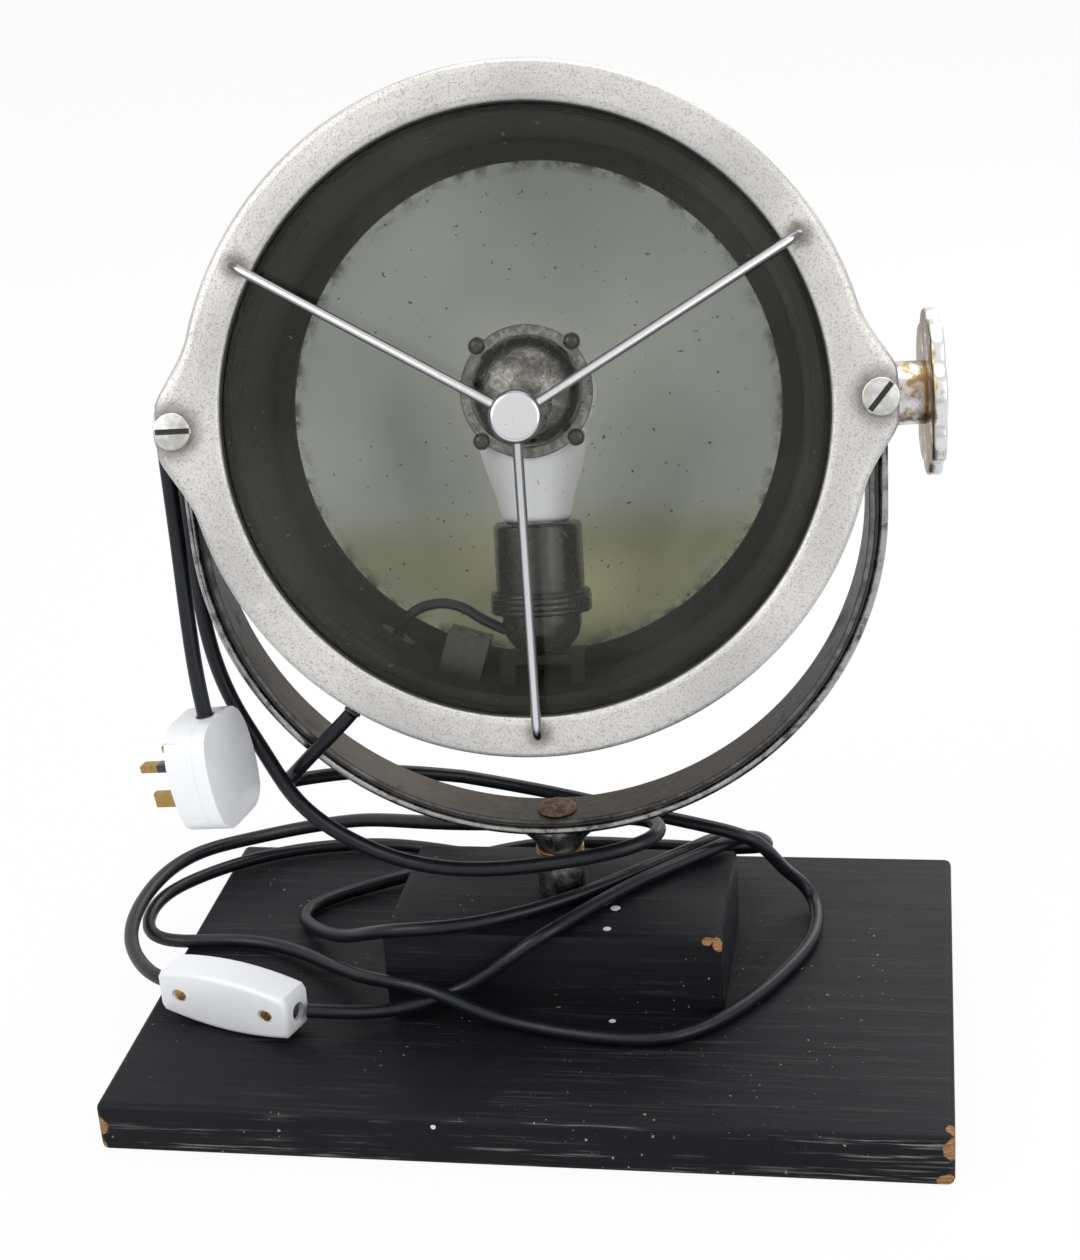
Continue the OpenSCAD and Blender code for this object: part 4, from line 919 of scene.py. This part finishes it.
class MirrorOperator(bpy.types.Operator):
    """Add the mirror and its retaining ring"""
    bl_idname = "lamp.mirror"
    bl_label = "Mirror"

    def execute(self, context):
        apex = MIRROR_RIM - MIRROR_R ** 2 / (4 * FOCAL)
        radii = [MIRROR_R * i / 48 for i in range(49)]
        front = [(r, apex + r * r / (4 * FOCAL)) for r in radii]
        back = [(r, z - 2) for r, z in reversed(front)]
        piece("mirror", spun(front + back, 160), HEAD, "head", "mirror", ["reflector"])
        outer, inner = DRUM_R - SHEET, MIRROR_R + 0.1
        ring = [(outer, -62), (inner, -62), (inner, -57.9), (119, -57.9), (119, -55.6), (119.8, -55),
                (outer, -55)]
        piece("mirror_ring", spun(ring, 160, True), HEAD, "head", "black_sheet", ["mirror_retainer"])
        return {"FINISHED"}


class GuardOperator(bpy.types.Operator):
    """Add the three guard rods and their boss"""
    bl_idname = "lamp.guard"
    bl_label = "Guard"

    def execute(self, context):
        rod = context.scene.lamp_sizes.rod / MM
        boss = context.scene.lamp_sizes.boss / MM
        bend, rise, out = 9, 6, 47
        slope = math.atan((out - 6 - rise - bend) / (ROD_CIRCLE_R - bend))
        centre = Vector((ROD_CIRCLE_R - bend, 0, RING_FRONT + rise))
        line = [Vector((ROD_CIRCLE_R, 0, 38)), Vector((ROD_CIRCLE_R, 0, 45))]
        turns = [(math.pi / 2 - slope) * k / 10 for k in range(11)]
        line += [centre + bend * Vector((math.cos(a), 0, math.sin(a))) for a in turns]
        way = Vector((-math.cos(slope), 0, math.sin(slope)))
        length = (line[-1].x - boss / 2 + 5) / math.cos(slope)
        line += [line[-1] + way * length * k / 4 for k in range(1, 5)]
        rods = [(tube(line, rod / 2, 6), place(0, 0, 0, (turn, "Z"))) for turn in ROD_TURNS]
        piece("rods", joined(*rods), HEAD, "head", "chrome", ["guard_rods"])
        z = RING_FRONT + out
        disc = [(0, z - 11), (boss / 2, z - 11), (boss / 2, z - 1.6), (boss / 2 - 1.4, z - 0.2), (0, z)]
        piece("boss", turned(disc, 1.0, 64), HEAD, "head", "chrome", ["guard_boss"])
        return {"FINISHED"}


class CapOperator(bpy.types.Operator):
    """Add the glare cap and the four pads on its flange"""
    bl_idname = "lamp.cap"
    bl_label = "Glare cap"

    def execute(self, context):
        at = HEAD @ place(0, GLOBE_Y, 9)
        arc = [math.radians(a) for a in range(0, 91, 5)]
        shell = [(25.2, 0), (30.1, 0), (30.5, 0.5), (30.5, 1.3), (30.1, 1.6)]
        shell += [(26 * math.cos(a), 1.6 + 20 * math.sin(a)) for a in arc]
        shell += [(25.2 * math.cos(a), 1.6 + 19.2 * math.sin(a)) for a in reversed(arc)]
        parts = [(spun(shell, 96, True), WORLD)]
        turns = [math.radians(t) for t in (45, 135, 225, 315)]
        spots = [place(30.6 * math.cos(t), 30.6 * math.sin(t)) for t in turns]
        seat = [(0, 0.1), (4.2, 0.1), (4.2, 1.5), (0, 1.5)]
        parts += [(turned(seat, 0.3, 32), spot) for spot in spots]
        piece("cap", joined(*parts), at, "head", "grey_metal", ["glare_cap"])
        pad = [(0, 1.5), (3.8, 1.6), (3.8, 2.3), (3, 3.4), (1.4, 4), (0, 4.1)]
        pads = [(turned(pad, 0.8, 32), spot) for spot in spots]
        piece("ear_pads", joined(*pads), at, "head", "black_plastic", ["cap_screws"])
        return {"FINISHED"}


class BulbOperator(bpy.types.Operator):
    """Add the bulb and the ridged lampholder"""
    bl_idname = "lamp.bulb"
    bl_label = "Bulb and lampholder"

    def execute(self, context):
        arc = [math.radians(a) for a in range(-34, 91, 4)]
        globe = [(0, -8)] + [(GLOBE_R * math.cos(a), GLOBE_Y + GLOBE_R * math.sin(a)) for a in arc]
        globe[-1] = (0, GLOBE_Y + GLOBE_R)
        piece("globe", spun(globe, 96), LAMP, "head", "opal", ["bulb_globe"])
        body = [(0, -8), (25.6, -8), (25.4, -17), (24, -23.5), (19, -38.5), (16.6, -49.5), (15, -51.5),
                (0, -51.5)]
        piece("bulb_body", turned(body, 2.5, 96), LAMP, "head", "opal", ["bulb_housing"])
        sleeve = [(14.2, -88), (20, -88), (21, -85), (21, -53.5), (19.5, -52), (14.2, -52)]
        sleeve = turned(sleeve, 1.0, 96, True)
        piece("holder_sleeve", sleeve, LAMP, "head", "black_plastic", ["lampholder_sleeve"])
        cup = [(0, -114), (10, -114), (13, -112), (17.5, -106), (19, -100), (19, -88), (0, -88)]
        piece("holder_cup", turned(cup, 2.0, 96), LAMP, "head", "black_plastic", ["lampholder_cup"])
        crest, groove = 24.1, 23.3
        ridge = [(19.2, -95), (23.1, -95), (crest, -94), (crest, -92.8), (groove, -92.3), (crest, -91.8),
                 (crest, -90), (groove, -89.5), (crest, -89), (crest, -87.2), (groove, -86.7), (23.9, -86),
                 (23.1, -84.5), (21.1, -84.5), (21.1, -88.1), (19.2, -88.1)]
        ring = spun(softened(ridge, 0.35, True, 2), 96, True)
        piece("holder_ring", ring, LAMP, "head", "black_plastic", ["lampholder_ring"])
        wire = tube(flowing(INNER_LEAD, 8), 2.5, 3)
        piece("holder_wire", wire, HEAD, "head", "black_flex", ["inner_lead"])
        return {"FINISHED"}


class TrunnionOperator(bpy.types.Operator):
    """Add the nut that carries the flex, and the strain relief at the gland"""
    bl_idname = "lamp.trunnions"
    bl_label = "Saddle nut and strain relief"

    def execute(self, context):
        nut = [(PIN_BORE_R, 163.9), (7.9, 163.9), (7.9, 172.2), (9.9, 172.2), (9.9, 174.2),
               (PIN_BORE_R, 174.2)]
        nut = turned(nut, 0.6, 64, True)
        piece("flex_nut", nut, HEAD @ ALONG_MINUS_X, "head", "bare_steel", ["saddle_nut"])
        sleeve = [(3.5, 146), (5.45, 146)]
        for k in range(6):
            z, r = 148 + k * 3, 5.25 - k * 0.18
            sleeve += [(r, z), (r, z + 1.4), (r - 0.45, z + 1.7), (r - 0.45, z + 2.7)]
        sleeve += [(4.2, 166.4), (4.15, 167), (3.5, 167)]
        piece("relief_sleeve", spun(sleeve, 48, True), GLAND, "head", "black_rubber", ["strain_relief"])
        return {"FINISHED"}


class WheelOperator(bpy.types.Operator):
    """Add the lobed clamp wheel"""
    bl_idname = "lamp.wheel"
    bl_label = "Clamp wheel"

    def execute(self, context):
        outline = []
        for k in range(160):
            turn = math.tau * k / 160
            lobe = math.cos(8 * turn)
            radius = 35 + 3 * (1 - (0.5 - 0.5 * lobe) ** 2.2)
            outline.append((radius * math.cos(turn), radius * math.sin(turn)))
        rim = extruded(outline, 17.5, 24, 1.4, 3)
        bore = spun([(0, -1), (PIN_BORE_R, -1), (PIN_BORE_R, 23), (0, 23)], 48)
        hub = turned([(PIN_BORE_R, 0.4), (14.5, 0.4), (14.5, 18), (PIN_BORE_R, 18)], 0.7, 64, True)
        nose = turned([(0, 23.2), (14.5, 23.2), (14.5, 24.5), (11.5, 27), (0, 27)], 1.0, 64)
        parts = [(cut(rim, bore), WORLD), (hub, WORLD), (nose, WORLD)]
        at = HEAD @ place(ARM_OUT, 0, 0) @ ALONG_X
        piece("hand_wheel", joined(*parts), at, "wheel", "worn_chrome", ["clamp_wheel"])
        return {"FINISHED"}


class SwitchOperator(bpy.types.Operator):
    """Add the in-line switch"""
    bl_idname = "lamp.switch"
    bl_label = "Switch"

    def outline(self, shrink=0.0):
        half, mid, end = 38.5 - shrink, 15 - shrink, 10.8 - shrink
        top = []
        for k in range(13):
            x = -half + 2 + (2 * half - 4) * k / 12
            top.append((x, mid - (mid - end) * (x / half) ** 2))
        top = [(-half, end - 3), *top, (half, end - 3)]
        return top + [(x, -z) for x, z in reversed(top)]

    def shell(self, low, high, core_low, core_high, far, *tools):
        """Half of the hollow body, with its far edges rounded."""
        body = extruded(self.outline(), low, high)
        bevelled(body, level_edges(body, far), 3.0, 5, True)
        mouth = [(0, -6), (4.6, -6), (4.6, 6), (0, 6)]
        mouths = [(spun(mouth, 32), place(x, 0, 0) @ ALONG_X) for x in (-38.5, 38.5)]
        return cut(body, extruded(self.outline(2.5), core_low, core_high), joined(*mouths), *tools)

    def execute(self, context):
        upright = place(0, 0, 0, (90, "X"))
        oval = Matrix.Diagonal((1.3, 1, 1, 1))
        recess = [(0, SCREW_SEAT), (3.4, SCREW_SEAT), (3.4, 20), (0, 20)]
        recesses = [(spun(recess, 32), place(x, 0, 0) @ oval) for x, _ in SWITCH_SCREWS]
        rear = self.shell(-2.1, SWITCH_FACE, -4, SWITCH_FACE - 3, SWITCH_FACE, joined(*recesses))
        piece("switch_rear", rear, SWITCH @ upright, "base", "white_plastic", ["switch_back"], 32)
        window = block((-10, -5.5, -20), (10, 5.5, 0))
        front = self.shell(-SWITCH_FACE, -2.0, -7.75, 0, -SWITCH_FACE, window)
        piece("switch_front", front, SWITCH @ upright, "base", "white_plastic", ["switch_cover"], 32)
        screws = [(slotted(6, 1.3, 0.9, 0.7, 0.3), place(x, 0, 0, (turn, "Z"))) for x, turn in SWITCH_SCREWS]
        shank = [(0, -13.5), (1.5, -13.5), (1.5, 0.1), (0, 0.1)]
        screws += [(spun(shank, 24), place(x, 0, 0)) for x, _ in SWITCH_SCREWS]
        at = SWITCH @ place(0, -SCREW_SEAT, 0, (90, "X"))
        piece("switch_screw_heads", joined(*screws), at, "base", "brass", ["switch_screws"])
        side = [(-9, -1), (-4, -4.5), (4, -4.5), (9, -1), (9.2, 2.2), (5, 3.4), (0, 2.6), (-5, 3.4),
                (-9.2, 2.2)]
        rocker = extruded(softened(side, 0.6, True), -5.2, 5.2, 0.5, 2)
        at = SWITCH @ place(0, 8.25, 0, (9, "Z"))
        piece("rocker_key", rocker, at, "rocker", "white_plastic", ["switch_rocker"])
        return {"FINISHED"}


class PlugOperator(bpy.types.Operator):
    """Add the three-pin plug"""
    bl_idname = "lamp.plug"
    bl_label = "Plug"

    def half(self, low, high, far):
        """Half of the plug between two depths, rounded on its far side."""
        side = [(10, 0), (16.6, -3), (20.6, -9), (22.6, -17), (23.4, -28), (22.4, -40), (19.6, -49),
                (14, -53.4), (8, -54)]
        whole = [(-y, z) for y, z in side] + [(y, z) for y, z in reversed(side)]
        bm = extruded(softened(whole, 5, True, 4), low, high)
        bevelled(bm, level_edges(bm, far), 3.2, 6, True)
        mouth = spun([(0, -8), (4.6, -8), (4.6, 12), (0, 12)], 32)
        return cut(bm, joined((mouth, place(0, 0, 0, (-90, "X")))))

    def execute(self, context):
        upright = PLUG @ place(0, 0, 0, (90, "Z"), (90, "X"))
        rear, front = self.half(-14.5, -0.1, -14.5), self.half(0, 7.2, 7.2)
        piece("plug_half", rear, upright, "yoke", "white_plastic", ["plug_base"], 32)
        piece("plug_face", front, upright, "yoke", "white_plastic", ["plug_cover"], 32)
        live = []
        sleeves = []
        for y in FLAT_PINS:
            live.append((block((-34.2, y - 3.175, -22.5), (-9.5, y + 3.175, -18.5), 0.9, 2), WORLD))
            sleeves.append((block((-25.5, y - 3.25, -22.57), (-14.3, y + 3.25, -18.43), 0.9, 2), WORLD))
        piece("flat_pins", joined(*live), PLUG, "yoke", "brass", ["plug_live_pins"])
        earth = block((-39.2, -2, -46.7), (-9.5, 2, -38.7), 0.9, 2)
        piece("long_pin", earth, PLUG, "yoke", "brass", ["plug_earth_pin"])
        piece("pin_sleeves", joined(*sleeves), PLUG, "yoke", "black_plastic")
        return {"FINISHED"}


class LeadOperator(bpy.types.Operator):
    """Add the lead to the switch and the flex to the plug"""
    bl_idname = "lamp.leads"
    bl_label = "Leads"

    def execute(self, context):
        sizes = context.scene.lamp_sizes

        def laid(name, points, thick, stands_for):
            line = eased(flowing(points, 7))
            made = piece(name, tube(line, thick / MM / 2, 5), WORLD, None, "black_flex", stands_for)
            return made, [spot * MM for spot in line]

        def length(path):
            return sum((b - a).length for a, b in zip(path, path[1:]))

        on_yoke = [YOKE @ Vector(p) for p in LEAD_DROP]
        upper, path = laid("upper_lead", on_yoke, sizes.lead, ["lamp_lead_drop"])
        length(path)
        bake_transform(upper)
        route = [YOKE @ Vector(p) for p in LEAD_DROP_END] + LEAD_FLOOR
        lower, path = laid("lower_lead", route, sizes.lead, ["lamp_lead"])
        length(path)
        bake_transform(lower)
        route = FLEX_FLOOR + [YOKE @ Vector(p) for p in FLEX_DROP]
        flex, path = laid("plug_flex", route, sizes.flex, ["flex_floor", "flex_drop"])
        length(path)
        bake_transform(flex)
        return {"FINISHED"}


class InnerOperator(bpy.types.Operator):
    """Give the nodes that stay their finishes"""
    bl_idname = "lamp.inner"
    bl_label = "Inner parts"

    def execute(self, context):
        redress(*[name for name, obj in frame["nodes"].items() if not obj.hide_render])
        return {"FINISHED"}


class StageOperator(bpy.types.Operator):
    """Add the floor, the lights and the camera"""
    bl_idname = "lamp.stage"
    bl_label = "Stage"

    def execute(self, context):
        scene = context.scene
        bm = bmesh.new()
        bmesh.ops.create_grid(bm, x_segments=1, y_segments=1, size=30)
        mesh = bpy.data.meshes.new("floor")
        bm.to_mesh(mesh)
        bm.free()
        floor = bpy.data.objects.new("floor", mesh)
        scene.collection.objects.link(floor)
        s = Shader("pale_floor")
        lit = s.node("ShaderNodeBsdfDiffuse", values={"Color": (0.86, 0.86, 0.86, 1)})
        white = s.node("ShaderNodeEmission", values={"Color": (1, 1, 1, 1), "Strength": 1.0})
        seen = s.node("ShaderNodeLightPath", out="Is Camera Ray")
        blend = s.node("ShaderNodeMixShader", values={0: seen * 0.93, 1: lit, 2: white})
        floor.data.materials.append(s.ended(blend))
        scene.world = bpy.data.worlds.new("studio")
        s = Shader("studio", scene.world)
        rays = ("Is Camera Ray", "Is Glossy Ray", "Is Transmission Ray")
        seen, glossy, through = (s.node("ShaderNodeLightPath", out=ray) for ray in rays)
        soft = s.node("ShaderNodeBackground", values={"Color": (0.82, 0.87, 0.95, 1), "Strength": 0.55})
        plain = s.node("ShaderNodeBackground", values={"Color": (1, 1, 1, 1)})
        share = seen.most(glossy).most(through)
        whole = s.node("ShaderNodeMixShader", values={0: share, 1: soft, 2: plain})
        s.ended(whole, "ShaderNodeOutputWorld")
        for name, spot, size, power in LIGHTS:
            lamp = bpy.data.lights.new(name, "AREA")
            lamp.shape, lamp.size, lamp.energy = "SQUARE", size, power
            obj = bpy.data.objects.new(name, lamp)
            obj.location = spot
            aim = LIGHT_AIM - Vector(spot)
            obj.rotation_euler = aim.to_track_quat("-Z", "Y").to_euler()
            scene.collection.objects.link(obj)
        turn, dip, roll = (math.radians(a) for a in CAMERA_TURNS)
        forward = Vector((-math.sin(turn) * math.cos(dip), math.cos(turn) * math.cos(dip), -math.sin(dip)))
        level = forward.cross(Vector((0, 0, 1))).normalized()
        rise = level.cross(forward)
        right = level * math.cos(roll) + rise * math.sin(roll)
        up = rise * math.cos(roll) - level * math.sin(roll)
        camera = bpy.data.cameras.new("camera")
        camera.lens = CAMERA_LENS
        eye = bpy.data.objects.new("camera", camera)
        axes = Matrix((right, up, -forward)).transposed()
        eye.matrix_world = Matrix.Translation(CAMERA_AIM - forward * CAMERA_AWAY) @ axes.to_4x4()
        scene.collection.objects.link(eye)
        scene.camera = eye
        scene.view_settings.view_transform = "Standard"
        return {"FINISHED"}


class LampPanel(bpy.types.Panel):
    """Lists the pieces and their settings"""
    bl_idname = "VIEW3D_PT_searchlight"
    bl_label = "Searchlight"
    bl_space_type = "VIEW_3D"
    bl_region_type = "UI"
    bl_category = "Searchlight"

    def draw(self, context):
        for group in (context.scene.lamp_sizes, context.scene.lamp_colours):
            for name in group.__annotations__:
                self.layout.prop(group, name)
        for operator in OPERATORS:
            self.layout.operator(operator.bl_idname)


OPERATORS = (
    StageOperator, BoardOperator, PostOperator, YokeOperator, DrumOperator, BezelOperator,
    GlassOperator, MirrorOperator, GuardOperator, CapOperator, BulbOperator, TrunnionOperator,
    WheelOperator, SwitchOperator, PlugOperator, LeadOperator, InnerOperator,
)
CLASSES = (LampColours, LampSizes, *OPERATORS, LampPanel)


def register():
    for cls in CLASSES:
        bpy.utils.register_class(cls)
    bpy.types.Scene.lamp_colours = PointerProperty(type=LampColours)
    bpy.types.Scene.lamp_sizes = PointerProperty(type=LampSizes)


def unregister():
    del bpy.types.Scene.lamp_sizes
    del bpy.types.Scene.lamp_colours
    for cls in reversed(CLASSES):
        bpy.utils.unregister_class(cls)


def main():
    register()
    for operator in OPERATORS:
        group, name = operator.bl_idname.split(".")
        getattr(getattr(bpy.ops, group), name)()


if __name__ == "__main__":
    main()
